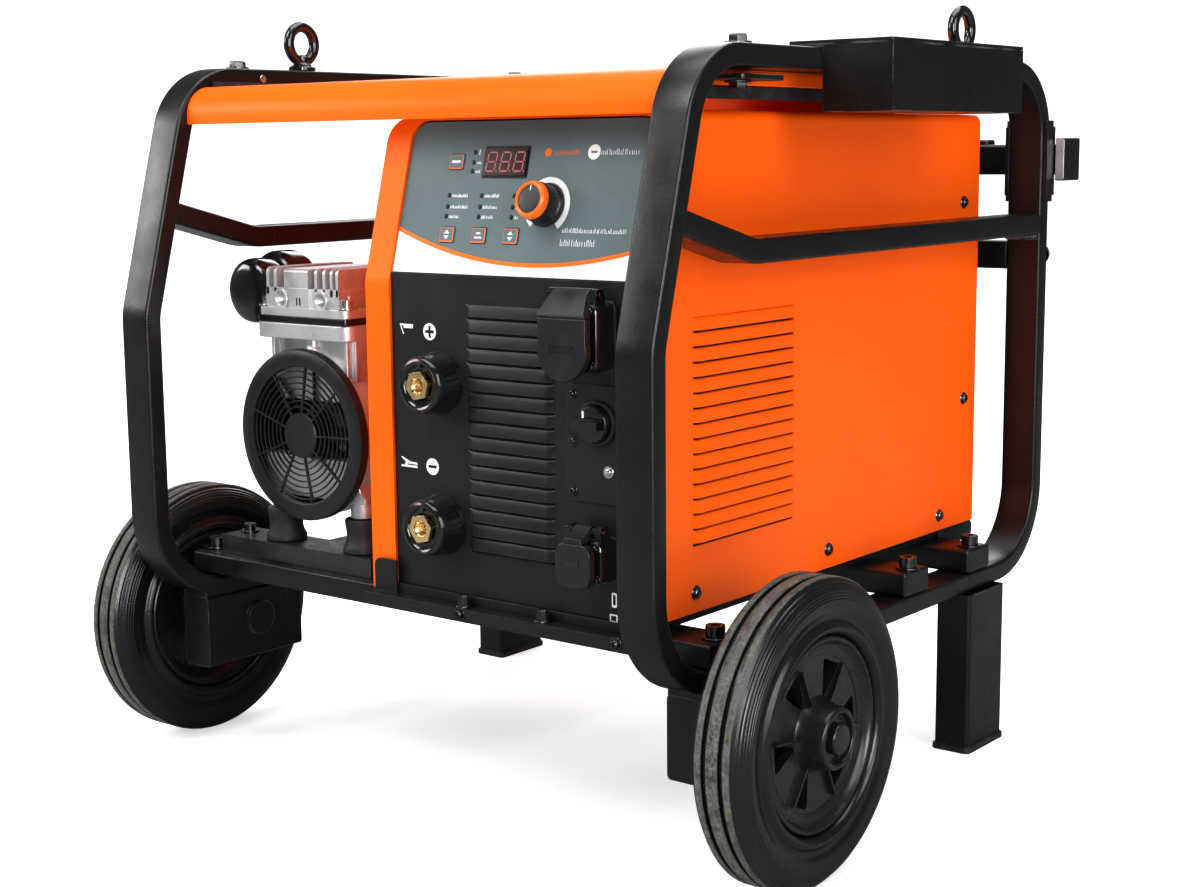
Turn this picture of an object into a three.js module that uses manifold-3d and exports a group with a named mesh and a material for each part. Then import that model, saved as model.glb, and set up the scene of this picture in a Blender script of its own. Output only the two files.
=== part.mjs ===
// Plasma cutter unit: an inverter power source and a piston air compressor carried
// side by side in a tubular cage with two wheels in front and two legs behind.
// Millimetres, +Z up, +X to the louvred side of the case, +Y towards the rear.
// Lengths along Y are counted from the front of the cage; the last lines move the
// origin to the middle of the footprint, on the floor.

import * as THREE from 'three';
import { mergeVertices } from 'three/addons/utils/BufferGeometryUtils.js';
import Module from 'manifold-3d';

const wasm = await Module();
wasm.setup();

// ---------------------------------------------------------------- driving dimensions

const GAP = 0.3;                 // clearance between pieces that touch
const SHEET = 2;                 // thickness of folded sheet metal

const TUBE_WIDTH = 36;           // cage tube, across the machine
const TUBE_DEPTH = 18;           // cage tube, in the plane of the hoop
const TUBE_EDGE = 3;             // rounding of the tube's long edges
const HOOP_X = 288;              // middle plane of each hoop
const CAGE_LENGTH = 662;
const CAGE_TOP = 658.5;
const CAGE_BOTTOM = 156;
const KINK_Z = 432;              // the front post leans back above this height
const LEAN = THREE.MathUtils.degToRad(15);
const TOP_BEND = 72;
const BOTTOM_BEND = 88;
const RAIL_HEIGHT = 20;
const RAIL_Z = 499;

const WHEEL_RADIUS = 125;
const WHEEL_WIDTH = 50;
const WHEEL_X = 357;
const AXLE_Y = 125;
const RIM_RADIUS = 79;
const SPINDLE_RADIUS = 10;

const LEG_X = 296;
const LEG_WIDTH = 36;
const LEG_DEPTH = 72;
const LEG_Y = 531;

const CHANNEL_TOP = 197;
const CHANNEL_DEPTH = 45;
const CHANNEL_Y = { front: 95, middle: 405, rear: 527 };

const CASE_LEFT = -41;
const CASE_RIGHT = 256.5;
const CASE_FRONT = 54.5;
const CASE_BACK = 609;
const CASE_FLOOR = 206;
const CASE_TOP = 607;
const PANEL_KINK_Z = 470;        // the front of the case slopes back above this height
const BEZEL_LEFT = 28;           // width of the bezel's left border
const BEZEL_RIGHT = 8;
const BEZEL_TOP = 2.5;
const BEZEL_DEPTH = 22;
const COVER_EDGE = 8;

const SIDE_LOUVRES = { count: 15, from: 263, pitch: 12.3, front: 121, back: 270 };
const FRONT_LOUVRES = { count: 17, from: 247, pitch: 12.25, left: 74, right: 165 };

const SOCKET_X = 40;
const SOCKET_RADIUS = 25;
const SOCKET_Z = { plus: 386.5, minus: 265.3 };
const PANEL_FACE = CASE_FRONT + 2.5;

const UPPER_OUTLET = { x: 203, z: 435, width: 54, height: 54, depth: 26, lid: 24.5, drop: 38.5 };
const LOWER_OUTLET = { x: 210, z: 258, width: 42, height: 36, depth: 24, lid: 20, drop: 23 };
const HINGE_PIN = 2;
const HINGE_RISE = 6.2;          // flap hinge above the top of the outlet's housing
const HINGE_SETBACK = 8;         // flap hinge behind the front of the outlet's housing

const KNOB = { u: 146, v: 68, radius: 17, height: 23 };
const WINDOW = { u: 96.2, v: 103.6, width: 45, height: 23.6 };
const RESET_KEY = { u: 42, v: 104 };
const SET_KEYS = { v: 42, left: 43.6, middle: 78.8, right: 113.5 };
const KEY_SIZE = [16, 13];
const KEY_RISE = 1.2;
const DIAL = { x: 211, z: 366, radius: 15 };

const TRAY = { left: -275, right: -73, front: 83.5, back: 430, top: 215 };
const PUMP_X = -155.5;
const PUMP_Z = 322;
const PUMP_RADIUS = 74;
const GUARD_RADIUS = 79.5;
const GUARD_FRONT = 78;
const PUMP_BACK = 312;
const MOUNT_X = 52;
const MOUNT_Y = [106, 292];
const MOUNT_HEIGHT = 31.4;
const HEAD = { front: 86, back: 188, width: 95, flange: 116, bottom: 431, top: 476 };
const VALVE_PLATE = 6;             // thickness of the plate between head and cylinder
const PORT_X = [-27, 25];

const BOX = { inner: 306.3, outer: 370.5, front: 232, back: 462, bottom: 607, top: 661 };
const PULL_BAR = { z: 565, size: 30, face: 667.3 };
const UNIT_LENGTH = PULL_BAR.face + PULL_BAR.size;

// ---------------------------------------------------------------- finishes

const finish = (color, roughness, metalness) =>
  new THREE.MeshStandardMaterial({ color, roughness, metalness });

const BLACK_COAT = () => finish(0x1b1c1e, 0.55, 0.2);
const ORANGE_COAT = () => finish(0xff5a10, 0.35, 0.1);
const CHARCOAL_COAT = () => finish(0x2a2b2d, 0.6, 0.1);
const GREY_FILM = () => finish(0x6e7b7c, 0.5, 0.0);
const CAST_ALLOY = () => finish(0xb9bbbd, 0.45, 0.9);
const BRASS = () => finish(0xc79a4b, 0.3, 1.0);
const STEEL = () => finish(0x8f9296, 0.35, 1.0);
const BLACK_PLASTIC = () => finish(0x141415, 0.45, 0.0);
const RUBBER = () => finish(0x1a1a1a, 0.85, 0.0);
const TYRE_RUBBER = () => finish(0x232322, 0.8, 0.0);
const RED_LENS = () => finish(0x2a0608, 0.1, 0.0);
const BOARD_GREEN = () => finish(0x1f5a35, 0.6, 0.0);
const COPPER = () => finish(0xa5673a, 0.5, 0.8);

// ---------------------------------------------------------------- solids

const ALONG_X = new THREE.Matrix4().makeBasis(
  new THREE.Vector3(0, 1, 0), new THREE.Vector3(0, 0, 1), new THREE.Vector3(1, 0, 0));
const ALONG_Y = new THREE.Matrix4().makeBasis(
  new THREE.Vector3(1, 0, 0), new THREE.Vector3(0, 0, 1), new THREE.Vector3(0, -1, 0));

function solid(geometry) {
  const bare = geometry.index ? geometry : geometry.clone();
  bare.deleteAttribute('normal');
  bare.deleteAttribute('uv');
  const welded = mergeVertices(bare, 1e-4);
  return new wasm.Manifold(new wasm.Mesh({
    numProp: 3,
    vertProperties: new Float32Array(welded.attributes.position.array),
    triVerts: new Uint32Array(welded.index.array),
  }));
}

const join = (first, ...rest) => rest.reduce((whole, next) => whole.add(next), first);
const cut = (first, ...rest) => rest.reduce((whole, next) => whole.subtract(next), first);
const move = (body, x, y, z) => body.translate([x, y, z]);

function box([x0, x1], [y0, y1], [z0, z1]) {
  const geometry = new THREE.BoxGeometry(x1 - x0, y1 - y0, z1 - z0);
  return move(solid(geometry), (x0 + x1) / 2, (y0 + y1) / 2, (z0 + z1) / 2);
}

function rod(axis, radius, from, to, centre = [0, 0], sides = 24) {
  const geometry = new THREE.CylinderGeometry(radius, radius, to - from, sides);
  const middle = (from + to) / 2;
  if (axis === 'x') geometry.rotateZ(-Math.PI / 2);
  if (axis === 'z') geometry.rotateX(Math.PI / 2);
  const [a, b] = centre;
  const place = { x: [middle, a, b], y: [a, middle, b], z: [a, b, middle] }[axis];
  return move(solid(geometry), ...place);
}

// A closed outline from corners [u, v, radius]; each radius becomes an arc.
function trace(path, corners) {
  const point = ([u, v]) => new THREE.Vector2(u, v);
  corners.forEach((corner, i) => {
    const here = point(corner);
    const before = point(corners.at(i - 1)).sub(here).normalize();
    const after = point(corners[(i + 1) % corners.length]).sub(here).normalize();
    const radius = corner[2] ?? 0;
    const half = Math.acos(THREE.MathUtils.clamp(before.dot(after), -1, 1)) / 2;
    const reach = radius / Math.tan(half);
    const start = here.clone().addScaledVector(before, reach);
    if (i === 0) path.moveTo(start.x, start.y);
    else path.lineTo(start.x, start.y);
    if (radius === 0) return;
    const inward = before.clone().add(after).normalize();
    const centre = here.clone().addScaledVector(inward, radius / Math.sin(half));
    const end = here.clone().addScaledVector(after, reach);
    const angle = (p) => Math.atan2(p.y - centre.y, p.x - centre.x);
    const clockwise = before.x * after.y - before.y * after.x > 0;
    path.absarc(centre.x, centre.y, radius, angle(start), angle(end), clockwise);
  });
  path.closePath();
  return path;
}

const outline = (...corners) => trace(new THREE.Shape(), corners);
const opening = (...corners) => trace(new THREE.Path(), corners);

const roundedCorners = (u0, u1, v0, v1, r) => [[u0, v0, r], [u1, v0, r], [u1, v1, r], [u0, v1, r]];

// Extrudes a shape between two stations of an axis, with an optional edge chamfer.
// An arc is drawn in twice as many straight steps as segments says.
function prism(axis, shape, from, to, { edge = 0, segments = 2 } = {}) {
  const geometry = new THREE.ExtrudeGeometry(shape, {
    depth: to - from - 2 * edge,
    bevelEnabled: edge > 0,
    bevelThickness: edge,
    bevelSize: edge,
    bevelOffset: -edge,
    bevelSegments: 1,
    curveSegments: segments,
  });
  geometry.translate(0, 0, edge);
  if (axis === 'x') geometry.applyMatrix4(ALONG_X).translate(from, 0, 0);
  if (axis === 'y') geometry.applyMatrix4(ALONG_Y).translate(0, to, 0);
  if (axis === 'z') geometry.translate(0, 0, from);
  return solid(geometry);
}

// Turns a profile of [radius, station] points about an axis through the origin.
function turned(axis, profile, sides) {
  const points = profile.map(([r, s]) => new THREE.Vector2(r, s));
  const geometry = new THREE.LatheGeometry(points, sides);
  if (axis === 'x') geometry.rotateZ(-Math.PI / 2);
  if (axis === 'z') geometry.rotateX(Math.PI / 2);
  return solid(geometry);
}

function piece(parent, name, material, body, [x, y, z] = [0, 0, 0]) {
  const { numProp, vertProperties, triVerts } = body.getMesh();
  const geometry = new THREE.BufferGeometry();
  geometry.setAttribute('position', new THREE.BufferAttribute(vertProperties, numProp));
  geometry.setIndex(new THREE.BufferAttribute(triVerts, 1));
  geometry.computeVertexNormals();
  const mesh = new THREE.Mesh(geometry, material());
  mesh.name = name;
  mesh.position.set(x, y, z);
  parent.add(mesh);
  return mesh;
}

function group(parent, x, y, z) {
  const inner = new THREE.Group();
  inner.position.set(x, y, z);
  parent.add(inner);
  return inner;
}

const unit = new THREE.Group();

// ---------------------------------------------------------------- cage

// The side hoop in the Y-Z plane, with its mid rail: a leaning front post, a straight
// rear post and two openings.
function hoop() {
  const lean = Math.tan(LEAN);
  const across = TUBE_DEPTH / Math.cos(LEAN);
  const postBack = (z) => across + (z - KINK_Z) * lean;
  const rearInside = CAGE_LENGTH - TUBE_DEPTH;
  const topInside = CAGE_TOP - TUBE_DEPTH;
  const bottomInside = CAGE_BOTTOM + TUBE_DEPTH;
  const railTop = RAIL_Z + RAIL_HEIGHT / 2;
  const railBottom = RAIL_Z - RAIL_HEIGHT / 2;
  const railBendY = 139;
  const railRise = 26;
  const shape = outline(
    [0, CAGE_BOTTOM, BOTTOM_BEND],
    [CAGE_LENGTH, CAGE_BOTTOM, BOTTOM_BEND],
    [CAGE_LENGTH, CAGE_TOP, TOP_BEND],
    [(CAGE_TOP - KINK_Z) * lean, CAGE_TOP, TOP_BEND],
    [0, KINK_Z, 60]);
  shape.holes.push(opening(
    [postBack(railTop + railRise), railTop + railRise, 4],
    [railBendY + 3, railTop, 30],
    [rearInside, railTop + 3, 4],
    [rearInside, topInside, TOP_BEND - TUBE_DEPTH],
    [postBack(topInside), topInside, TOP_BEND - TUBE_DEPTH]));
  shape.holes.push(opening(
    [TUBE_DEPTH, bottomInside, BOTTOM_BEND - TUBE_DEPTH],
    [rearInside, bottomInside, BOTTOM_BEND - TUBE_DEPTH],
    [rearInside, railBottom + 3, 4],
    [railBendY - 3, railBottom, 30],
    [postBack(railBottom + railRise), railBottom + railRise, 4],
    [TUBE_DEPTH, KINK_Z - 2, 60]));
  return prism('x', shape, -TUBE_WIDTH / 2, TUBE_WIDTH / 2,
    { edge: TUBE_EDGE, segments: 4 });
}

// Lifting eye: a ring standing on a turned collar.
function eyeBolt() {
  const ring = solid(new THREE.TorusGeometry(17, 5, 6, 18).rotateY(Math.PI / 2));
  const collar = turned('y', [[0, 0], [12, 0], [12, 4], [7, 8], [7, 13], [0, 13]], 10);
  return join(move(ring, 0, 0, 26), collar.rotate([90, 0, 0]));
}

// Folded sheet roof between the hoops, with rolled front and rear lips, side lips and
// four ears that bolt under the hoops' top bars.
function canopy() {
  const top = CAGE_TOP - TUBE_DEPTH - 0.5;
  const frontLip = 605.5;
  const rearLip = 612;
  const [front, back] = [57, 604];
  const roll = 29;
  const halfWidth = HOOP_X - TUBE_WIDTH / 2 - GAP;
  const skin = prism('x', outline(
    [front, frontLip], [front, top, roll], [back, top, 26], [back, rearLip],
    [back - SHEET, rearLip], [back - SHEET, top - SHEET, 24],
    [front + SHEET, top - SHEET, roll - SHEET], [front + SHEET, frontLip],
  ), -halfWidth, halfWidth, { segments: 5 });
  const lipSpan = [front + roll, back - roll];
  const lips = [-1, 1].map((side) => {
    const edges = [side * halfWidth, side * (halfWidth - SHEET)].sort((a, b) => a - b);
    return box(edges, lipSpan, [top - 12, top - 1]);
  });
  const ears = [];
  for (const side of [-1, 1]) {
    for (const y of [152, 530]) {
      const span = [side * (halfWidth - 1), side * (HOOP_X + 14)].sort((a, b) => a - b);
      ears.push(box(span, [y - 30, y + 30], [top - 9, top - 5]));
    }
  }
  return join(skin, ...lips, ...ears);
}

// Inverted trough with closed ends that carries the case and the compressor tray.
function crossChannel(bottom) {
  const half = HOOP_X + TUBE_WIDTH / 2;
  const wall = 3;
  const shell = prism('x', outline(...roundedCorners(
    -CHANNEL_DEPTH / 2, CHANNEL_DEPTH / 2, bottom, CHANNEL_TOP, 3)), -half, half,
    { edge: 1.5, segments: 1 });
  const hollow = box([-half + wall, half - wall],
    [-CHANNEL_DEPTH / 2 + wall, CHANNEL_DEPTH / 2 - wall], [bottom - 1, CHANNEL_TOP - wall]);
  return cut(shell, hollow);
}

// Rear pull bar: a square tube with saddles that wrap the rear posts and stepped ends.
function pullBar() {
  const half = PULL_BAR.size / 2;
  const tubeEnd = 316;
  const barEnd = 321.5;
  const tube = prism('x', outline(...roundedCorners(
    PULL_BAR.face, PULL_BAR.face + PULL_BAR.size, PULL_BAR.z - half, PULL_BAR.z + half, 3)),
    -tubeEnd, tubeEnd);
  const parts = [tube];
  for (const side of [-1, 1]) {
    const between = (a, b) => [side * a, side * b].sort((p, q) => p - q);
    const inside = HOOP_X - TUBE_WIDTH / 2 - GAP;
    const outside = HOOP_X + TUBE_WIDTH / 2 + GAP;
    const wing = 4.5;
    const plateZ = [524, 602];
    const wingY = [CAGE_LENGTH - TUBE_DEPTH, PULL_BAR.face + 0.5];
    parts.push(box(between(inside - wing, outside + wing),
      [CAGE_LENGTH + GAP, PULL_BAR.face + 0.5], plateZ));
    parts.push(box(between(inside - wing, inside), wingY, plateZ));
    parts.push(box(between(outside, outside + wing), wingY, plateZ));
    parts.push(box(between(tubeEnd - 4, barEnd),
      [PULL_BAR.face - 6, UNIT_LENGTH], [PULL_BAR.z - 21, PULL_BAR.z + 21]));
  }
  return join(...parts);
}

function crossRail() {
  const half = HOOP_X - TUBE_WIDTH / 2 - GAP;
  return prism('x', outline(...roundedCorners(
    CAGE_LENGTH - TUBE_DEPTH, CAGE_LENGTH, 457, 485, 3)), -half, half);
}

// Axle bracket: a square tube lying along Y under the hoop, with the wheel's spindle
// through it. Built for the right side, and turned half a circle for the left.
function axleBracket() {
  const length = 120;
  const height = CAGE_BOTTOM - GAP - 86;
  const wall = 4;
  const bottom = 86 - WHEEL_RADIUS;
  const inner = 273 - WHEEL_X;
  const offset = 121 - AXLE_Y;
  const shell = prism('y', outline(...roundedCorners(
    inner, inner + LEG_WIDTH, bottom, bottom + height, 4)),
    offset - length / 2, offset + length / 2);
  const hollow = box([inner + wall, inner + LEG_WIDTH - wall],
    [offset - length / 2 + wall, offset + length / 2 + 1],
    [bottom + wall, bottom + height - wall]);
  const weldedBoss = rod('x', 17, inner - 4, inner + 1, [0, 0], 18);
  const shoulder = rod('x', 16, inner + LEG_WIDTH - 1, -WHEEL_WIDTH / 2 - 6, [0, 0], 16);
  const spindle = rod('x', SPINDLE_RADIUS, inner, 22, [0, 0], 20);
  return join(cut(shell, hollow), weldedBoss, shoulder, spindle);
}

function rearLeg() {
  const wall = 3;
  const outer = outline(...roundedCorners(
    -LEG_WIDTH / 2, LEG_WIDTH / 2, -LEG_DEPTH / 2, LEG_DEPTH / 2, 4));
  outer.holes.push(opening(...roundedCorners(-LEG_WIDTH / 2 + wall, LEG_WIDTH / 2 - wall,
    -LEG_DEPTH / 2 + wall, LEG_DEPTH / 2 - wall, 2)));
  return prism('z', outer, 6, CAGE_BOTTOM - GAP);
}

function footPad() {
  const lip = 2;
  const plug = 3.8;
  const base = prism('z', outline(...roundedCorners(-LEG_WIDTH / 2 - lip, LEG_WIDTH / 2 + lip,
    -LEG_DEPTH / 2 - lip, LEG_DEPTH / 2 + lip, 5)), 0, 6 - GAP);
  const core = box([-LEG_WIDTH / 2 + plug, LEG_WIDTH / 2 - plug],
    [-LEG_DEPTH / 2 + plug, LEG_DEPTH / 2 - plug], [4, 22]);
  return join(base, core);
}

function buildCage() {
  for (const [side, name] of [[-1, 'left'], [1, 'right']]) {
    piece(unit, `${name}_hoop`, BLACK_COAT, hoop(), [side * HOOP_X, 0, 0]);
    const bracket = piece(unit, `${name}_axle_bracket`, BLACK_COAT, axleBracket(),
      [side * WHEEL_X, AXLE_Y, WHEEL_RADIUS]);
    bracket.scale.x = side;
    piece(unit, `${name}_rear_leg`, BLACK_COAT, rearLeg(), [side * LEG_X, LEG_Y, 0]);
    piece(unit, `${name}_foot_pad`, RUBBER, footPad(), [side * LEG_X, LEG_Y, 0]);
  }
  const eyeZ = CAGE_TOP + GAP;
  piece(unit, 'left_eye_bolt', BLACK_COAT, eyeBolt(), [-HOOP_X, 221, eyeZ]);
  piece(unit, 'right_eye_bolt', BLACK_COAT, eyeBolt(), [HOOP_X, 505, eyeZ]);
  piece(unit, 'top_canopy', ORANGE_COAT, canopy());
  piece(unit, 'rear_pull_bar', BLACK_COAT, pullBar());
  piece(unit, 'rear_cross_rail', BLACK_COAT, crossRail());
  const seat = CAGE_BOTTOM + TUBE_DEPTH + GAP;
  piece(unit, 'front_cross_channel', BLACK_COAT, crossChannel(seat + 2),
    [0, CHANNEL_Y.front, 0]);
  piece(unit, 'middle_cross_channel', BLACK_COAT, crossChannel(seat),
    [0, CHANNEL_Y.middle, 0]);
  piece(unit, 'rear_cross_channel', BLACK_COAT, crossChannel(seat), [0, CHANNEL_Y.rear, 0]);
}

// ---------------------------------------------------------------- wheels

// Solid rubber tyre: three ribs between two grooves, round shoulders, plain sidewalls.
function tyre() {
  const half = WHEEL_WIDTH / 2;
  const groove = WHEEL_RADIUS - 3;
  const right = [
    [RIM_RADIUS + GAP, half - 6], [RIM_RADIUS + 8, half - 1], [WHEEL_RADIUS - 15, half],
    [WHEEL_RADIUS - 4, half - 6], [WHEEL_RADIUS, half - 10], [WHEEL_RADIUS, 9.5],
    [groove, 9], [groove, 5.5], [WHEEL_RADIUS, 5],
  ];
  const left = right.map(([r, s]) => [r, -s]);
  const profile = [...left, ...right.toReversed()];
  return turned('x', [...profile, profile[0]], 32);
}

// Moulded wheel centre with six pockets and a blind bore for the spindle.
function hub() {
  const half = WHEEL_WIDTH / 2;
  const bore = SPINDLE_RADIUS + GAP;
  const rim = turned('x', [
    [RIM_RADIUS - 10, -half + 7], [RIM_RADIUS, -half + 7], [RIM_RADIUS, half - 7],
    [RIM_RADIUS - 2, half - 4], [RIM_RADIUS - 8, half - 4], [RIM_RADIUS - 10, half - 8],
    [RIM_RADIUS - 10, -half + 7],
  ], 32);
  const boss = turned('x', [
    [bore, -half - 5], [24, -half - 5], [27, 0], [23, half - 3], [18, half - 1],
    [15, half], [0, half], [0, half - 2], [bore, half - 2], [bore, -half - 5],
  ], 20);
  const web = rod('x', RIM_RADIUS - 9, -4, 12, [0, 0], 32);
  const [inner, outer] = [30, RIM_RADIUS - 15];
  const pockets = [rod('x', 20, -5, 13)];
  for (let i = 0; i < 6; i += 1) {
    const middle = (i + 0.5) * Math.PI / 3;
    const corner = (r, a, round) => [r * Math.cos(middle + a), r * Math.sin(middle + a), round];
    pockets.push(prism('x', outline(
      corner(inner, 0, 3), corner(outer, -0.4, 4), corner(outer, 0.4, 4)), 1, 13,
      { segments: 1 }));
  }
  return join(rim, cut(web, ...pockets), boss);
}

function buildWheels() {
  for (const [side, name] of [[-1, 'left'], [1, 'right']]) {
    const wheel = group(unit, side * WHEEL_X, AXLE_Y, WHEEL_RADIUS);
    if (side < 0) wheel.rotation.z = Math.PI;
    piece(wheel, `${name}_tyre`, TYRE_RUBBER, tyre());
    piece(wheel, `${name}_hub`, BLACK_PLASTIC, hub());
  }
}

// ---------------------------------------------------------------- case

// The sloped part of the front, in its own frame: u across, v up the slope, w outwards.
const slope = group(unit, 0, CASE_FRONT, PANEL_KINK_Z);
slope.rotation.x = Math.PI / 2 - LEAN;

const frontAt = (z) => CASE_FRONT + Math.max(0, z - PANEL_KINK_Z) * Math.tan(LEAN);

function bezel() {
  const bottom = CASE_FLOOR - 6;
  const side = outline([CASE_FRONT, bottom], [CASE_FRONT, PANEL_KINK_Z, 30],
    [frontAt(CASE_TOP), CASE_TOP], [frontAt(CASE_TOP) + BEZEL_DEPTH, CASE_TOP],
    [CASE_FRONT + BEZEL_DEPTH, PANEL_KINK_Z, 30], [CASE_FRONT + BEZEL_DEPTH, bottom]);
  const ring = outline([CASE_LEFT, bottom, 3], [CASE_RIGHT, bottom, 3],
    [CASE_RIGHT, CASE_TOP, 20], [CASE_LEFT, CASE_TOP, 20]);
  ring.holes.push(opening(
    [CASE_LEFT + BEZEL_LEFT, CASE_FLOOR, 1], [CASE_RIGHT - BEZEL_RIGHT, CASE_FLOOR, 1],
    [CASE_RIGHT - BEZEL_RIGHT, CASE_TOP - BEZEL_TOP, 16],
    [CASE_LEFT + BEZEL_LEFT, CASE_TOP - BEZEL_TOP, 16]));
  const body = prism('x', side, CASE_LEFT, CASE_RIGHT, { segments: 4 });
  return body.intersect(prism('y', ring, 0, CASE_BACK, { segments: 5 }));
}

// Left, top and right walls of the case, folded from one sheet, louvred on the right.
function cover() {
  const lead = BEZEL_DEPTH + 1;
  const profile = (grow) => outline(
    [CASE_FRONT + lead - grow, CASE_FLOOR - grow],
    [CASE_FRONT + lead - grow, PANEL_KINK_Z],
    [frontAt(CASE_TOP) + lead - grow, CASE_TOP + 2],
    [CASE_BACK + grow, CASE_TOP + 2],
    [CASE_BACK + grow, CASE_FLOOR - grow]);
  const section = (inset, bottom) => prism('y', outline(
    [CASE_LEFT + inset, bottom], [CASE_RIGHT - inset, bottom],
    [CASE_RIGHT - inset, CASE_TOP + 2 - inset, COVER_EDGE - inset],
    [CASE_LEFT + inset, CASE_TOP + 2 - inset, COVER_EDGE - inset]), 0, CASE_BACK + 5,
    { segments: 4 });
  const outer = prism('x', profile(0), CASE_LEFT, CASE_RIGHT).intersect(section(0, CASE_FLOOR));
  const slots = [];
  for (let i = 0; i < SIDE_LOUVRES.count; i += 1) {
    const z = SIDE_LOUVRES.from + i * SIDE_LOUVRES.pitch;
    slots.push(box([CASE_RIGHT - 5, CASE_RIGHT + 5],
      [SIDE_LOUVRES.front, SIDE_LOUVRES.back], [z - 2, z + 2]));
  }
  return cut(outer, section(SHEET, CASE_FLOOR - 10), ...slots);
}

// Floor of the case with its front apron, left-hand tab and board standoffs.
function basePan() {
  const floor = CHANNEL_TOP + GAP;
  const [left, right] = [CASE_LEFT + 8, CASE_RIGHT - 8];
  const [front, back] = [78, CASE_BACK - 8];
  const top = CASE_FLOOR - 0.5;
  const apron = 40;
  const tray = cut(box([left, right], [front, back], [floor, top]),
    box([left + SHEET, right - SHEET], [front + SHEET, back - SHEET], [floor + SHEET, top + 1]));
  const tongue = box([CASE_LEFT + 3, CASE_RIGHT - 3], [apron, front + 1],
    [floor, CASE_FLOOR - 6 - GAP]);
  const lip = box([CASE_LEFT + 3, CASE_RIGHT - 3], [apron, apron + SHEET],
    [190, CASE_FLOOR - 6 - GAP]);
  const [tabLeft, tabRight, tabTop] = [CASE_LEFT + 6, CASE_LEFT + BEZEL_LEFT + 4, 228.5];
  const tab = prism('y', outline([tabLeft, floor], [tabRight, floor], [tabRight, tabTop],
    [tabLeft, tabTop, 7]), CASE_FRONT - 4, CASE_FRONT - 2, { segments: 4 });
  const posts = [];
  for (const x of [14, 206]) {
    for (const y of [194, 426]) posts.push(rod('z', 4, floor + 1, 319.7, [x, y], 8));
  }
  return join(tray, tongue, lip, tab, ...posts);
}

// Flat front panel below the slope, louvred, with a raised pad for the isolator switch.
function lowerFrontPanel() {
  const left = CASE_LEFT + BEZEL_LEFT + GAP;
  const right = CASE_RIGHT - BEZEL_RIGHT - GAP;
  const plate = box([left, right], [PANEL_FACE, PANEL_FACE + SHEET], [CASE_FLOOR + 0.5, 477.5]);
  const pad = prism('y', outline(...roundedCorners(180, right - 1, 302, 396, 3)),
    PANEL_FACE - 2, PANEL_FACE + 1);
  const slots = [];
  for (let i = 0; i < FRONT_LOUVRES.count; i += 1) {
    const z = FRONT_LOUVRES.from + i * FRONT_LOUVRES.pitch;
    slots.push(box([FRONT_LOUVRES.left, FRONT_LOUVRES.right],
      [PANEL_FACE - 5, PANEL_FACE + 5], [z - 1.5, z + 1.5]));
  }
  return cut(join(plate, pad), ...slots);
}

function rearPanel() {
  const inset = SHEET + GAP;
  const [left, right] = [CASE_LEFT + inset, CASE_RIGHT - inset];
  const [bottom, top] = [CASE_FLOOR + 0.5, CASE_TOP - GAP];
  const plate = prism('y', outline([left, bottom], [right, bottom],
    [right, top, COVER_EDGE - SHEET], [left, top, COVER_EDGE - SHEET]),
    CASE_BACK - 5, CASE_BACK - 3);
  return cut(plate, rod('y', 55, CASE_BACK - 10, CASE_BACK, [108, 400], 36));
}

function controlPanel() {
  const left = CASE_LEFT + BEZEL_LEFT + GAP;
  const right = CASE_RIGHT - BEZEL_RIGHT - GAP;
  const top = 138.6;
  const shape = outline([left, 9], [right, 9], [right, top, 16], [left, top, 16]);
  const [w, h] = KEY_SIZE.map((size) => size / 2 + 0.4);
  const keys = [[RESET_KEY.u, RESET_KEY.v],
    ...[SET_KEYS.left, SET_KEYS.middle, SET_KEYS.right].map((u) => [u, SET_KEYS.v])];
  for (const [u, v] of keys) {
    shape.holes.push(opening(...roundedCorners(u - w, u + w, v - h, v + h, 1.5)));
  }
  return prism('z', shape, -5, -2.5);
}

function key() {
  const [w, h] = KEY_SIZE.map((size) => size / 2);
  return prism('z', outline(...roundedCorners(-w, w, -h, h, 1.5)), -6, -2.5 + KEY_RISE,
    { edge: 0.4, segments: 2 });
}

// Pointer knob with a wide skirt.
function knob() {
  const { radius, height } = KNOB;
  return turned('z', [[0, 0], [radius + 1, 0], [radius + 1, 4], [radius, 5],
    [radius - 1.5, height - 2], [radius - 4, height], [0, height]], 24);
}

// Quick-connect power socket: a domed insulating collar round a brass hexagon.
function powerSocket() {
  const depth = 25;
  const bore = 13;
  return turned('y', [[bore, 0], [SOCKET_RADIUS - 4, 0], [SOCKET_RADIUS, 3],
    [SOCKET_RADIUS, depth - 6], [SOCKET_RADIUS + 1, depth], [bore, depth], [bore, 0]], 24);
}

function socketInsert() {
  const hexagon = rod('y', 12.6, -1.5, 24, [0, 0], 6);
  return cut(hexagon, rod('y', 7, -3, 18, [0, 0], 12));
}

// Outlet housing with a hinge fork on top, hinge pin included. Its origin is the
// middle of the housing, on the panel's face.
function outletBody({ width, height, depth }) {
  const [w, h] = [width / 2, height / 2];
  const housing = prism('y', outline(...roundedCorners(-w, w, -h, h, 8)), -depth, 0, { edge: 1 });
  const bore = rod('y', height * 0.3, -depth - 1, -6, [0, 0], 16);
  const hingeY = HINGE_SETBACK - depth;
  const hingeZ = h + HINGE_RISE;
  const fork = [-1, 1].map((side) => {
    const span = [side * (w - 9), side * (w - 3)].sort((a, b) => a - b);
    return prism('x', outline([hingeY - 5, h - 3], [hingeY + 9, h - 3],
      [hingeY + 5, hingeZ + 5, 4], [hingeY - 5, hingeZ + 5, 4]), ...span);
  });
  const pin = rod('x', HINGE_PIN, -w + 5, w - 5, [hingeY, hingeZ], 8);
  return join(cut(housing, bore), ...fork, pin);
}

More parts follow.
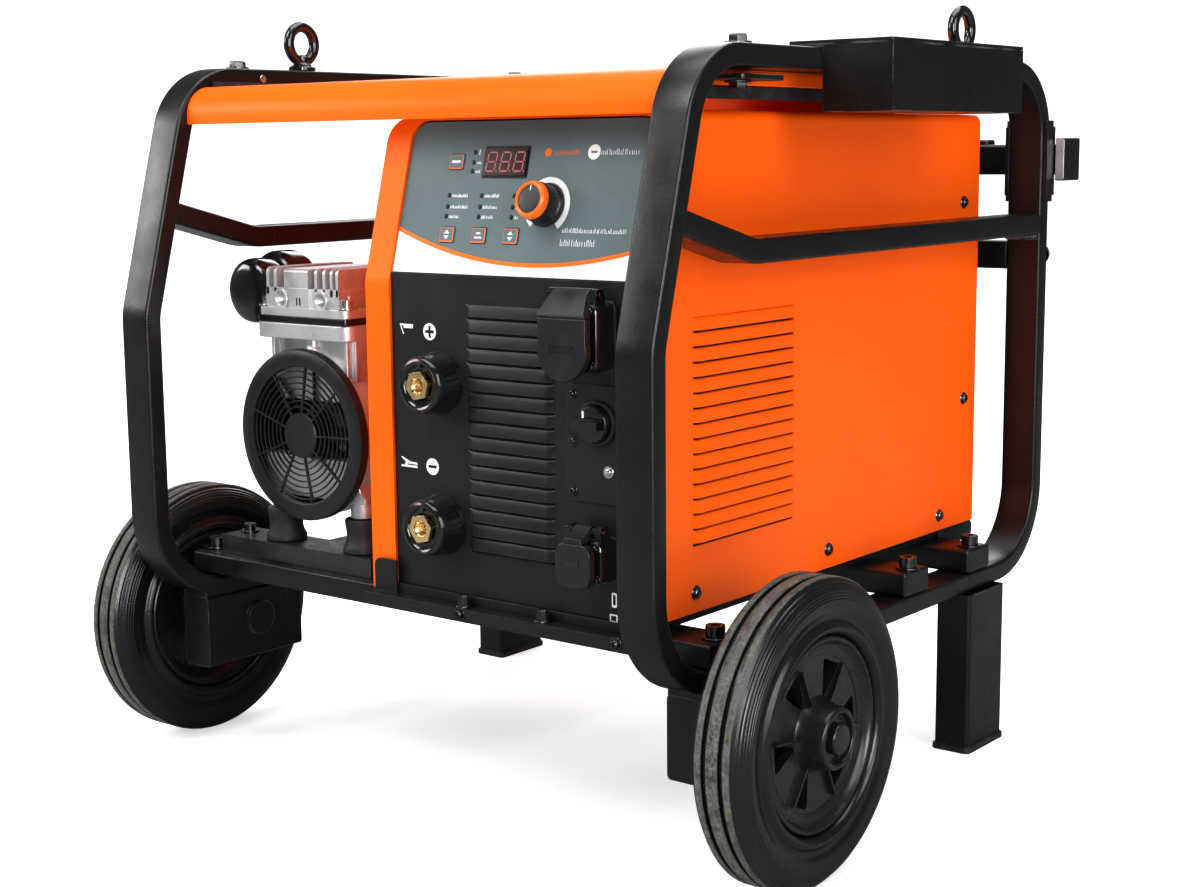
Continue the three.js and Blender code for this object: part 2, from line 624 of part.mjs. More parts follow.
// Flap cap about its hinge axis: a knuckle, an arm and a round lid over the outlet.
function outletCap({ width, lid, drop }) {
  const half = width / 2 - 9 - GAP;
  const back = -HINGE_SETBACK - 3;
  const front = back - 8;
  const knuckle = rod('x', 5.5, -half, half, [0, 0], 14);
  const disc = prism('y', new THREE.Shape().absarc(0, -drop, lid, 0, Math.PI * 2),
    front, back, { edge: 1.5, segments: 10 });
  const arm = prism('y', outline([-half, -drop + 6], [half, -drop + 6],
    [half, 0, 3], [-half, 0, 3]), front + 1, back);
  const neck = prism('x', outline([front + 2, -10], [back, -10], [back, -5], [0, -5],
    [0, 5], [-4, 5], [front + 2, -1]), -half, half);
  const bore = rod('x', HINGE_PIN + GAP, -width, width, [0, 0], 10);
  return cut(join(knuckle, disc, arm, neck), bore);
}

// Handle of the rotary isolator: a disc with a raised grip bar.
function rotaryHandle() {
  const disc = turned('y', [[0, -8], [DIAL.radius - 1, -8], [DIAL.radius, -6],
    [DIAL.radius, 0], [0, 0]], 20);
  const grip = box([-DIAL.radius + 2, DIAL.radius - 2], [-18, -7], [-3.5, 3.5]);
  return join(disc, grip);
}

function buildCase() {
  piece(unit, 'case_base_pan', CHARCOAL_COAT, basePan());
  piece(unit, 'case_cover', ORANGE_COAT, cover());
  piece(unit, 'front_bezel', ORANGE_COAT, bezel());
  piece(unit, 'lower_front_panel', CHARCOAL_COAT, lowerFrontPanel());
  piece(unit, 'rear_panel', CHARCOAL_COAT, rearPanel());
  piece(slope, 'control_panel', GREY_FILM, controlPanel());
  const window = outline(...roundedCorners(-WINDOW.width / 2, WINDOW.width / 2,
    -WINDOW.height / 2, WINDOW.height / 2, 1));
  piece(slope, 'display_window', RED_LENS, prism('z', window, -2.2, -1, { segments: 1 }),
    [WINDOW.u, WINDOW.v, 0]);
  piece(slope, 'current_knob', BLACK_PLASTIC, knob(), [KNOB.u, KNOB.v, -2.2]);
  piece(slope, 'reset_button', BLACK_PLASTIC, key(), [RESET_KEY.u, RESET_KEY.v, 0]);
  for (const name of ['left', 'middle', 'right']) {
    piece(slope, `${name}_set_button`, BLACK_PLASTIC, key(), [SET_KEYS[name], SET_KEYS.v, 0]);
  }
  for (const pole of ['plus', 'minus']) {
    const front = PANEL_FACE - GAP - 25;
    piece(unit, `${pole}_socket`, BLACK_PLASTIC, powerSocket(), [SOCKET_X, front, SOCKET_Z[pole]]);
    piece(unit, `${pole}_socket_insert`, BRASS, socketInsert(), [SOCKET_X, front, SOCKET_Z[pole]]);
  }
  for (const [level, outlet] of [['upper', UPPER_OUTLET], ['lower', LOWER_OUTLET]]) {
    const hingeY = PANEL_FACE - GAP - outlet.depth + HINGE_SETBACK;
    const hingeZ = outlet.z + outlet.height / 2 + HINGE_RISE;
    piece(unit, `${level}_outlet_body`, BLACK_PLASTIC, outletBody(outlet),
      [outlet.x, PANEL_FACE - GAP, outlet.z]);
    piece(unit, `${level}_outlet_cap`, BLACK_PLASTIC, outletCap(outlet),
      [outlet.x, hingeY, hingeZ]);
  }
  piece(unit, 'rotary_switch', BLACK_PLASTIC, rotaryHandle(),
    [DIAL.x, PANEL_FACE - 2 - GAP, DIAL.z]);
}

// ---------------------------------------------------------------- inside the case

// Extruded heat sink standing on its fins.
function heatSink() {
  const fins = 9;
  const [width, length, height] = [170, 220, 58];
  const bodies = [box([-width / 2, width / 2], [0, length], [height - 8, height])];
  for (let i = 0; i < fins; i += 1) {
    const x = -width / 2 + 2 + i * (width - 4) / (fins - 1);
    bodies.push(box([x - 2, x + 2], [0, length], [0, height - 7]));
  }
  return join(...bodies);
}

function powerBoard() {
  const board = box([4, 216], [184, 436], [320, 322]);
  const capacitors = [40, 84, 128, 172].map((x) => rod('z', 16, 321, 372, [x, 240], 16));
  return join(board, ...capacitors);
}

function transformer() {
  const core = box([-45, 45], [-35, 35], [0, 80]);
  const windings = [-1, 1].map((side) => rod('z', 24, 12, 68, [0, side * 22], 20));
  return join(core, ...windings);
}

function fanFrame() {
  const block = prism('y', outline(...roundedCorners(-60, 60, -60, 60, 6)), 0, 25);
  const frame = cut(block, rod('y', 57, -1, 26, [0, 0], 32));
  const struts = [box([-59, 59], [0, 3], [-2, 2]), box([-2, 2], [0, 3], [-59, 59])];
  return join(frame, ...struts, rod('y', 18, 0, 4, [0, 0], 16));
}

// Axial fan: a hub with pitched blades, turning about Y.
function fanRotor(hubRadius, tipRadius, length, blades) {
  const parts = [rod('y', hubRadius, 0, length, [0, 0], 20)];
  const reach = tipRadius - hubRadius + 3;
  for (let i = 0; i < blades; i += 1) {
    const blade = box([-1, 1], [-length * 0.52, length * 0.52], [0, reach])
      .rotate([0, 0, 38])
      .translate([0, length / 2, hubRadius - 3])
      .rotate([0, i * 360 / blades, 0]);
    parts.push(blade);
  }
  return join(...parts).intersect(rod('y', tipRadius, 0, length, [0, 0], 24));
}

function buildInside() {
  piece(unit, 'heat_sink', CAST_ALLOY, heatSink(), [110, 200, CHANNEL_TOP + SHEET + 2 * GAP]);
  piece(unit, 'power_board', BOARD_GREEN, powerBoard());
  piece(unit, 'main_transformer', COPPER, transformer(),
    [110, 500, CHANNEL_TOP + SHEET + 2 * GAP]);
  const fan = group(unit, 108, CASE_BACK - 5 - GAP - 25, 400);
  piece(fan, 'case_fan_frame', BLACK_PLASTIC, fanFrame());
  piece(fan, 'case_fan_rotor', BLACK_PLASTIC, fanRotor(20, 54, 19, 7), [0, 5, 0]);
}

// ---------------------------------------------------------------- compressor

// Folded tray: a front beam, a rear beam and a wide plate that joins them on the right.
function tray() {
  const { left, right, front, back, top } = TRAY;
  const bottom = CHANNEL_TOP + GAP;
  const window = { right: -170, front: front + 42, back: 270 };
  const plate = cut(box([left, right], [front, back], [bottom, top]),
    box([left - 1, window.right], [window.front, window.back], [bottom - 1, top + 1]));
  const hollows = [
    box([left + SHEET, right - SHEET], [front + SHEET, window.front - SHEET],
      [bottom - 1, top - SHEET]),
    box([left + SHEET, right - SHEET], [window.back + SHEET, back - SHEET],
      [bottom - 1, top - SHEET]),
    box([window.right + SHEET, right - SHEET], [window.front - 3, window.back + 3],
      [bottom - 1, top - SHEET]),
  ];
  return cut(plate, ...hollows);
}

function rubberMount() {
  return turned('z', [[0, 0], [19, 0], [19, 4], [16, 9], [15.5, MOUNT_HEIGHT / 2],
    [16, MOUNT_HEIGHT - 6], [17, MOUNT_HEIGHT], [0, MOUNT_HEIGHT]], 16);
}

// One casting: motor barrel, open fan bell in front, cylinder block and four feet.
function compressorBody() {
  const bellFront = 88 + GAP;
  const bellBack = 116;
  const barrel = rod('y', PUMP_RADIUS - 4, bellBack - 2, PUMP_BACK, [0, 0], 32);
  const bell = rod('y', PUMP_RADIUS + 3, bellFront, bellBack, [0, 0], 32);
  const recess = rod('y', PUMP_RADIUS - 2, bellFront - 1, bellBack - 4, [0, 0], 32);
  const seat = HEAD.bottom - VALVE_PLATE - PUMP_Z;
  const flange = prism('z', outline(...roundedCorners(-HEAD.flange / 2, HEAD.flange / 2,
    HEAD.front - 2, HEAD.back + 2, 12)), seat - 13, seat - GAP, { segments: 4 });
  const block = prism('y', outline([-46, seat - 12], [-46, 58, 14], [-58, 30], [58, 30],
    [46, 58, 14], [46, seat - 12]), 104, HEAD.back - 6, { segments: 4 });
  const footTop = TRAY.top + MOUNT_HEIGHT + 2 * GAP - PUMP_Z;
  const feet = MOUNT_Y.map((y) => prism('y', outline(
    [-MOUNT_X - 17, footTop], [MOUNT_X + 17, footTop], [MOUNT_X + 17, footTop + 11, 4],
    [MOUNT_X - 4, footTop + 34], [-MOUNT_X + 4, footTop + 34], [-MOUNT_X - 17, footTop + 11, 4],
  ), y - 15, y + 15));
  return cut(join(barrel, bell, block, flange, ...feet), recess);
}

function valvePlate() {
  const bottom = HEAD.bottom - VALVE_PLATE;
  return prism('z', outline(...roundedCorners(-HEAD.flange / 2 - 1, HEAD.flange / 2 + 1,
    HEAD.front - 3, HEAD.back + 3, 6)), bottom, HEAD.bottom - GAP);
}

// Cylinder head: a ported block on a flange, with cooling fins cut across its top.
function cylinderHead() {
  const half = HEAD.width / 2;
  const flange = prism('z', outline(...roundedCorners(-HEAD.flange / 2, HEAD.flange / 2,
    HEAD.front - 2, HEAD.back + 2, 8)), HEAD.bottom, HEAD.bottom + 8);
  const block = box([-half, half], [HEAD.front, HEAD.back], [HEAD.bottom + 2, HEAD.top]);
  const fins = 9;
  const pitch = (2 * half - 4) / (fins - 1);
  const valleys = [];
  for (let i = 0; i < fins - 1; i += 1) {
    const x = -half + 4 + i * pitch;
    valleys.push(box([x, x + pitch - 4], [HEAD.front - 1, HEAD.back + 1],
      [HEAD.top - 20, HEAD.top + 1]));
  }
  const ports = PORT_X.map((x) => rod('y', 7, HEAD.front - 1, HEAD.front + 16, [x, 445], 16));
  return cut(join(flange, block), ...valleys, ...ports);
}

// Round fan guard: outer ring, hub disc, radial bars and a ring half way out.
function fanGuard() {
  const depth = 10;
  const ring = (outer, inner, from, to) => turned('y',
    [[inner, from], [outer, from], [outer, to], [inner, to], [inner, from]], 28);
  const parts = [ring(GUARD_RADIUS, GUARD_RADIUS - 13, 0, depth), rod('y', 21, 0, 5, [0, 0], 18)];
  parts.push(ring(45, 43, 1, 4));
  const bars = 9;
  for (let i = 0; i < bars; i += 1) {
    parts.push(box([-1.2, 1.2], [1, 4.5], [19, GUARD_RADIUS - 10])
      .rotate([0, i * 360 / bars, 0]));
  }
  return join(...parts);
}

// Intake filter canister lying along Y, with a stub that reaches the cylinder head.
function airFilter() {
  const can = turned('y', [[0, 0], [26, 0], [30, 3], [31, 7], [31, 28], [28, 34], [0, 34]], 20);
  return join(can, rod('x', 9, 20, 39.5, [17, 6], 10));
}

function buildCompressor() {
  piece(unit, 'compressor_tray', BLACK_COAT, tray());
  const pump = group(unit, PUMP_X, 0, PUMP_Z);
  piece(pump, 'compressor_body', CAST_ALLOY, compressorBody());
  piece(pump, 'fan_guard', BLACK_PLASTIC, fanGuard(), [0, GUARD_FRONT, 0]);
  piece(pump, 'compressor_fan', BLACK_PLASTIC, fanRotor(18, 66, 18, 8), [0, 91, 0]);
  const head = group(unit, PUMP_X, 0, 0);
  piece(head, 'valve_plate', BLACK_PLASTIC, valvePlate());
  piece(head, 'cylinder_head', CAST_ALLOY, cylinderHead());
  piece(unit, 'front_air_filter', BLACK_PLASTIC, airFilter(), [-243.5, 98, 450]);
  piece(unit, 'rear_air_filter', BLACK_PLASTIC, airFilter(), [-243.5, 138, 454]);
  for (const [row, y] of [['front', MOUNT_Y[0]], ['rear', MOUNT_Y[1]]]) {
    for (const [side, name] of [[-1, 'left'], [1, 'right']]) {
      piece(unit, `${row}_${name}_rubber_mount`, RUBBER, rubberMount(),
        [PUMP_X + side * MOUNT_X, y, TRAY.top + GAP]);
    }
  }
}

// ---------------------------------------------------------------- accessory box

// Open pan hung outside the right hoop by a flange that lies on the top bar.
function accessoryBox() {
  const { inner, outer, front, back, bottom, top } = BOX;
  const pan = cut(box([inner, outer], [front, back], [bottom, top]),
    box([inner + SHEET, outer - SHEET], [front + SHEET, back - SHEET], [bottom + SHEET, top + 1]));
  return join(pan, box([HOOP_X - 14, inner + 1], [front, back], [top - 2, top]));
}

// Flat lid about its hinge line, flush with the pan's outer walls.
function accessoryLid() {
  const length = BOX.back - BOX.front;
  return prism('z', outline(...roundedCorners(0, BOX.outer - (HOOP_X - 14),
    -length / 2, length / 2, 1)), GAP, GAP + 3);
}

function buildAccessoryBox() {
  piece(unit, 'accessory_box', BLACK_COAT, accessoryBox());
  piece(unit, 'accessory_box_lid', BLACK_COAT, accessoryLid(),
    [HOOP_X - 14, (BOX.front + BOX.back) / 2, BOX.top]);
}

buildCage();
buildWheels();
buildCase();
buildInside();
buildCompressor();
buildAccessoryBox();

unit.position.y = -UNIT_LENGTH / 2;
unit.updateMatrixWorld(true);

export default unit;
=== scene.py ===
"""Looks of the plasma cutter unit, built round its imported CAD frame."""
import math
import random

import bmesh
import bpy
from mathutils import Matrix, Vector
from mathutils.geometry import tessellate_polygon


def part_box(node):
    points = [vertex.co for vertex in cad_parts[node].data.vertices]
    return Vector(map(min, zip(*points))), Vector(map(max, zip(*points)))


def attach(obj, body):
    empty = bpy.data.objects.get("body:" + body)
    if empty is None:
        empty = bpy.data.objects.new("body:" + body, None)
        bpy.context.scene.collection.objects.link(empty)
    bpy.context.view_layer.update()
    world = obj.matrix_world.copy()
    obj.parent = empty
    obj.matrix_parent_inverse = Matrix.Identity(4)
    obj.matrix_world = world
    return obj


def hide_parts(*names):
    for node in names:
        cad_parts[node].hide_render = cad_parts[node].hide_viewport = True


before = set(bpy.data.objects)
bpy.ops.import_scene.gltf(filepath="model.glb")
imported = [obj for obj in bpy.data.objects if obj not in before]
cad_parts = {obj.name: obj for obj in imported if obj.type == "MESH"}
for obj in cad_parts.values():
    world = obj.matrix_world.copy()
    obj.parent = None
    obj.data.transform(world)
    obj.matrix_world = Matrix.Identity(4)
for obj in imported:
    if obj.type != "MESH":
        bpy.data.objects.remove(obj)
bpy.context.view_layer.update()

# Lengths are millimetres. X and Z are as in the CAD frame, Y is counted from the front of
# the cage. Shapes whose names end in _section or _profile are (across, along) points.
MM = 0.001
CAGE_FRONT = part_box("left_hoop")[0].y


def span(node):
    """Lowest and highest corner of a CAD node at rest."""
    return [(round(c.x / MM, 2), round((c.y - CAGE_FRONT) / MM, 2), round(c.z / MM, 2))
            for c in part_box(node)]


def middle(node):
    return [(low + high) / 2 for low, high in zip(*span(node))]


SIDES = ((-1, "left"), (1, "right"))
HOOP_INSIDE, _, CAGE_BOTTOM = span("right_hoop")[0]
HOOP_OUTSIDE, CAGE_LENGTH, CAGE_TOP = span("right_hoop")[1]
HOOP_X = (HOOP_INSIDE + HOOP_OUTSIDE) / 2
TUBE_WIDTH = HOOP_OUTSIDE - HOOP_INSIDE
TUBE_DEPTH = 18.0
TUBE_CORNER = 2.8
KINK_Z = 432.0
LEAN = math.radians(15)
CHANNEL_TOP = span("front_cross_channel")[1][2]
CHANNEL_Y = {name: middle(f"{name}_cross_channel")[1] for name in ("front", "middle", "rear")}
BOLT_Y = (137.0, 545.0)
WHEEL_X, AXLE_Y, AXLE_Z = middle("right_tyre")
CASE_LEFT = span("case_cover")[0][0]
CASE_RIGHT, CASE_BACK, _ = span("case_cover")[1]
CASE_FRONT = span("front_bezel")[0][1]
PANEL_KINK_Z = 470.0
PANEL_FACE = CASE_FRONT + 2.5
PUMP_X, _, PUMP_Z = middle("compressor_fan")
TRAY_TOP = span("compressor_tray")[1][2]


# ---------------------------------------------------------------- shapes
# A shape is a pair: a list of points and a list of faces. An outline is a list of 2D points.

def join(*shapes):
    points, faces = [], []
    for p, f in shapes:
        base = len(points)
        points += p
        faces += [tuple(base + i for i in face) for face in f]
    return points, faces


def shift(shape, x=0.0, y=0.0, z=0.0):
    return [p + Vector((x, y, z)) for p in shape[0]], shape[1]


def turn(shape, axis, degrees):
    matrix = Matrix.Rotation(math.radians(degrees), 3, axis)
    return [matrix @ p for p in shape[0]], shape[1]


def at(shape, x, y, z, direction=(0, 0, 1)):
    """Turns a shape built along +Z to point along direction, and puts its origin at x, y, z."""
    matrix = Vector((0, 0, 1)).rotation_difference(Vector(direction)).to_matrix()
    return shift(([matrix @ p for p in shape[0]], shape[1]), x, y, z)


def flip(shape):
    """Turns the faces of a shape inside out."""
    return shape[0], [tuple(reversed(f)) for f in shape[1]]


def poly(*pairs):
    return [Vector(pair) for pair in pairs]


def fillet(corners, steps=8):
    """Closed outline from corners (u, v, radius), each radius drawn as an arc."""
    out = []
    for i, corner in enumerate(corners):
        here = Vector(corner[:2])
        if len(corner) == 2 or corner[2] == 0:
            out.append(here)
            continue
        radius = corner[2]
        before = (Vector(corners[i - 1][:2]) - here).normalized()
        after = (Vector(corners[(i + 1) % len(corners)][:2]) - here).normalized()
        half = math.acos(max(-1, min(1, before.dot(after)))) / 2
        centre = here + (before + after).normalized() * radius / math.sin(half)
        start = here + before * radius / math.tan(half) - centre
        end = here + after * radius / math.tan(half) - centre
        bend = start.angle_signed(end)
        for k in range(steps + 1):
            a = -bend * k / steps
            out.append(centre + Vector((start.x * math.cos(a) - start.y * math.sin(a),
                                        start.x * math.sin(a) + start.y * math.cos(a))))
    return out


def rectangle(u0, u1, v0, v1, r=0, steps=6):
    return fillet([(u0, v0, r), (u1, v0, r), (u1, v1, r), (u0, v1, r)], steps)


def centred(u, v, half_width, half_height, r=0):
    return rectangle(u - half_width, u + half_width, v - half_height, v + half_height, r)


def circle(u, v, r, steps=48, start=0.0):
    return [Vector((u + r * math.cos(start + 2 * math.pi * i / steps),
                    v + r * math.sin(start + 2 * math.pi * i / steps))) for i in range(steps)]


def area(outline):
    return sum(a.x * b.y - b.x * a.y for a, b in zip(outline, outline[1:] + outline[:1])) / 2


PLACE = {
    "x": lambda u, v, w: Vector((w, u, v)),
    "y": lambda u, v, w: Vector((u, w, v)),
    "z": lambda u, v, w: Vector((u, v, w)),
}


def extrude(axis, outline, low, high, holes=()):
    """Straight extrusion of an outline, with optional holes, between two stations."""
    loops = [list(outline) if area(outline) > 0 else list(reversed(outline))]
    loops += [list(h) if area(h) < 0 else list(reversed(h)) for h in holes]
    points, faces, lower, upper = [], [], [], []
    for loop in loops:
        start, n = len(points), len(loop)
        points += [PLACE[axis](p.x, p.y, w) for w in (low, high) for p in loop]
        lower += range(start, start + n)
        upper += range(start + n, start + 2 * n)
        for i in range(n):
            j = (i + 1) % n
            faces.append((start + i, start + j, start + n + j, start + n + i))
    if holes:
        flat = [p for loop in loops for p in loop]
        for a, b, c in tessellate_polygon([[p.to_3d() for p in loop] for loop in loops]):
            if (flat[b] - flat[a]).cross(flat[c] - flat[a]) < 0:
                b, c = c, b
            faces += [(upper[a], upper[b], upper[c]), (lower[c], lower[b], lower[a])]
    else:
        faces += [tuple(reversed(lower)), tuple(upper)]
    return flip((points, faces)) if axis == "y" else (points, faces)


def box(x0, x1, y0, y1, z0, z1):
    return extrude("z", rectangle(x0, x1, y0, y1), z0, z1)


def lathe(axis, profile, centre=(0, 0, 0), steps=64, closed=False):
    """Turns a profile of (radius, station) points about an axis through centre."""
    points, faces, rows = [], [], []
    for r, s in profile:
        count = 1 if r == 0 else steps
        rows.append([len(points) + i % count for i in range(steps)])
        points += [PLACE[axis](p.x, p.y, s) for p in circle(0, 0, r, steps)[:count]]
    pairs = list(zip(rows, rows[1:]))
    if closed:
        pairs.append((rows[-1], rows[0]))
    for low, high in pairs:
        for i in range(steps):
            j = (i + 1) % steps
            face = tuple(dict.fromkeys((low[i], low[j], high[j], high[i])))
            if len(face) > 2:
                faces.append(face)
    shape = shift((points, faces), *centre)
    return flip(shape) if axis == "y" else shape


def skin(rows, columns, closed):
    """Faces of a tube whose points are rows of columns points each."""
    faces = []
    for i in range(rows if closed else rows - 1):
        here, ahead = i * columns, (i + 1) % rows * columns
        for k in range(columns):
            beside = (k + 1) % columns
            faces.append((here + k, here + beside, ahead + beside, ahead + k))
    return faces


def headings(path, closed):
    """Direction of a path at each of its points."""
    last = len(path) - 1
    if closed:
        return [(path[(i + 1) % (last + 1)] - path[i - 1]).normalized() for i in range(last + 1)]
    return [(path[min(i + 1, last)] - path[max(i - 1, 0)]).normalized() for i in range(last + 1)]


def sweep(path, section, closed=True):
    """Carries a section (across, outwards) along a path in the YZ plane, mitred at bends."""
    across = Vector((1, 0, 0))
    n, m = len(path), len(section)
    points = []
    for i, (p, heading) in enumerate(zip(path, headings(path, closed))):
        out = heading.cross(across).normalized()
        stretch = 1.0
        if closed or 0 < i < n - 1:
            arriving = (p - path[i - 1]).normalized()
            stretch = 1 / max(0.3, abs(arriving.cross(across).normalized().dot(out)))
        points += [p + across * s.x + out * s.y * stretch for s in section]
    faces = skin(n, m, closed)
    if not closed:
        faces += [tuple(range(m)), tuple(reversed(range((n - 1) * m, n * m)))]
    return points, faces


def wire(path, radius, sides=10, closed=False):
    """Round bar along any path."""
    n, points, normal = len(path), [], None
    for p, heading in zip(path, headings(path, closed)):
        if normal is None:
            seed = Vector((0, 0, 1)) if abs(heading.z) < 0.9 else Vector((1, 0, 0))
            normal = heading.cross(seed).normalized()
        normal = (normal - heading * normal.dot(heading)).normalized()
        for s in circle(0, 0, radius, sides):
            points.append(p + normal * s.x + heading.cross(normal) * s.y)
    faces = skin(n, sides, closed)
    if not closed:
        faces += [tuple(reversed(range(sides))), tuple(range((n - 1) * sides, n * sides))]
    return points, faces


def smooth_curve(points, per):
    """Catmull-Rom curve through 2D points."""
    out = []
    for i in range(len(points) - 1):
        p0, p1, p2 = (Vector(points[max(k, 0)]) for k in (i - 1, i, i + 1))
        p3 = Vector(points[min(i + 2, len(points) - 1)])
        for k in range(per):
            t = k / per
            out.append(0.5 * ((2 * p1) + (p2 - p0) * t + (2 * p0 - 5 * p1 + 4 * p2 - p3) * t * t
                              + (3 * p1 - p0 - 3 * p2 + p3) * t ** 3))
    out.append(Vector(points[-1]))
    return out


# ---------------------------------------------------------------- materials

def scaled(color, factor):
    return tuple(min(1, c * factor) for c in color)


class Nodes:
    """Short form for building a material's node tree."""

    NAMES = {"color": "Base Color", "rough": "Roughness", "metal": "Metallic",
             "coat": "Coat Weight", "coat_rough": "Coat Roughness", "spec": "Specular IOR Level",
             "spec_tint": "Specular Tint", "glow": "Emission Color",
             "glow_strength": "Emission Strength"}

    def __init__(self, name):
        self.material = bpy.data.materials.new(name)
        self.material.use_nodes = True
        self.tree = self.material.node_tree
        self.shader = self.tree.nodes["Principled BSDF"]
        self.coords = self.add("ShaderNodeTexCoord").outputs["Object"]

    def add(self, kind, inputs=(), **settings):
        """New node; inputs gives a value or a source for each of its sockets."""
        node = self.tree.nodes.new(kind)
        for key, value in settings.items():
            setattr(node, key, value)
        for key, value in dict(inputs).items():
            self.feed(node.inputs[key], value)
        return node

    def feed(self, socket, value):
        if isinstance(value, bpy.types.NodeSocket):
            self.tree.links.new(value, socket)
        elif isinstance(value, tuple) and len(value) == 3 and len(socket.default_value) == 4:
            socket.default_value = (*value, 1)
        else:
            socket.default_value = value

    def noise(self, scale, detail=3.0, rough=0.55, stretch=None):
        vector = self.coords
        if stretch:
            mapping = self.add("ShaderNodeMapping", {"Vector": vector, "Scale": stretch})
            vector = mapping.outputs["Vector"]
        inputs = {"Vector": vector, "Scale": scale, "Detail": detail, "Roughness": rough}
        return self.add("ShaderNodeTexNoise", inputs).outputs["Fac"]

    def ramp(self, fac, low, high, value_low=0.0, value_high=1.0):
        inputs = {"Value": fac, "From Min": low, "From Max": high,
                  "To Min": value_low, "To Max": value_high}
        return self.add("ShaderNodeMapRange", inputs, interpolation_type="SMOOTHSTEP").outputs["Result"]

    def math(self, operation, a, b=0.0):
        return self.add("ShaderNodeMath", {0: a, 1: b}, operation=operation).outputs[0]

    def times(self, a, b):
        return self.math("MULTIPLY", a, b)

    def plus(self, a, b):
        return self.math("ADD", a, b)

    def mix(self, fac, a, b):
        return self.add("ShaderNodeMix", {"Factor": fac, "A": a, "B": b}, data_type="RGBA").outputs["Result"]

    def bump(self, height, strength, distance):
        node = self.add("ShaderNodeBump", {"Strength": strength, "Distance": distance, "Height": height})
        self.feed(self.shader.inputs["Normal"], node.outputs["Normal"])

    def edges(self, radius):
        """1 on sharp edges, 0 on flat faces."""
        rounded = self.add("ShaderNodeBevel", {"Radius": radius}, samples=4).outputs["Normal"]
        true = self.add("ShaderNodeNewGeometry").outputs["Normal"]
        dot = self.add("ShaderNodeVectorMath", {0: rounded, 1: true}, operation="DOT_PRODUCT")
        return self.ramp(dot.outputs["Value"], 0.995, 0.93)

    def set(self, **values):
        for key, value in values.items():
            self.feed(self.shader.inputs[self.NAMES[key]], value)


def powder_coat(name, color, worn, rough, grain, wear, edge=0.0012):
    """Textured black paint with a dull sheen, rubbed through on its edges."""
    n = Nodes(name)
    tint = n.mix(n.ramp(n.noise(9, 4), 0.3, 0.75), scaled(color, 0.82), scaled(color, 1.12))
    rubbed = n.times(n.times(n.edges(edge), n.ramp(n.noise(42, 4), 0.40, 0.66)), wear)
    n.set(color=n.mix(rubbed, tint, worn), metal=n.times(rubbed, 0.5), spec=0.42,
          rough=n.ramp(n.noise(30, 5), 0.25, 0.8, rough - 0.06, rough + 0.09))
    n.bump(n.plus(n.noise(900, 2, 0.6), n.times(n.noise(260, 2), 0.6)), grain, 0.0003)
    return n.material


def orange_paint(name):
    """Smooth satin paint with a faint orange-peel surface."""
    n = Nodes(name)
    tint = n.mix(n.ramp(n.noise(3.5, 3), 0.3, 0.7), (0.93, 0.112, 0.002), (0.97, 0.130, 0.003))
    rubbed = n.times(n.times(n.edges(0.0008), n.ramp(n.noise(60, 4), 0.5, 0.7)), 0.35)
    n.set(color=n.mix(rubbed, tint, (0.95, 0.42, 0.20)),
          rough=n.ramp(n.noise(22, 5), 0.25, 0.8, 0.36, 0.43), spec=0.45, spec_tint=(1.0, 0.36, 0.12))
    n.bump(n.noise(420, 2), 0.10, 0.00025)
    return n.material


def moulded(name, color, rough, grain=0.12, coat=0.0, scuff=0.25):
    """Moulded plastic with faint scuffs."""
    n = Nodes(name)
    marks = n.times(n.ramp(n.noise(75, 6, 0.7), 0.56, 0.74), scuff)
    n.set(color=n.mix(marks, color, tuple(0.75 * c + 0.035 for c in color)),
          rough=n.ramp(n.noise(45, 4), 0.25, 0.8, rough - 0.06, rough + 0.12), coat=coat, coat_rough=0.12)
    n.bump(n.noise(1400, 2), grain, 0.00015)
    return n.material


def metal(name, color, rough, grain, scale, dark):
    """Plated or machined metal with darker stains."""
    n = Nodes(name)
    n.set(color=n.mix(n.ramp(n.noise(38, 5, 0.65), 0.35, 0.75), color, scaled(color, dark)), metal=1.0,
          rough=n.ramp(n.noise(scale / 6, 5), 0.25, 0.8, rough - 0.12, rough + 0.12))
    n.bump(n.noise(scale, 3), grain, 0.0003)
    return n.material


def cast_alloy(name):
    """Sand-textured casting with small pits, grime and polished edges."""
    n = Nodes(name)
    sand = n.noise(700, 4, 0.7)
    pits = n.ramp(n.noise(240, 3), 0.62, 0.75)
    grime = n.ramp(n.noise(26, 5), 0.45, 0.8)
    base = n.mix(grime, (0.64, 0.64, 0.65), (0.33, 0.335, 0.34))
    n.set(color=n.mix(n.times(n.edges(0.0010), 0.6), base, (0.92, 0.92, 0.93)), metal=0.65,
          rough=n.ramp(sand, 0.3, 0.75, 0.28, 0.50))
    n.bump(n.plus(sand, n.times(pits, -0.6)), 0.45, 0.0004)
    return n.material


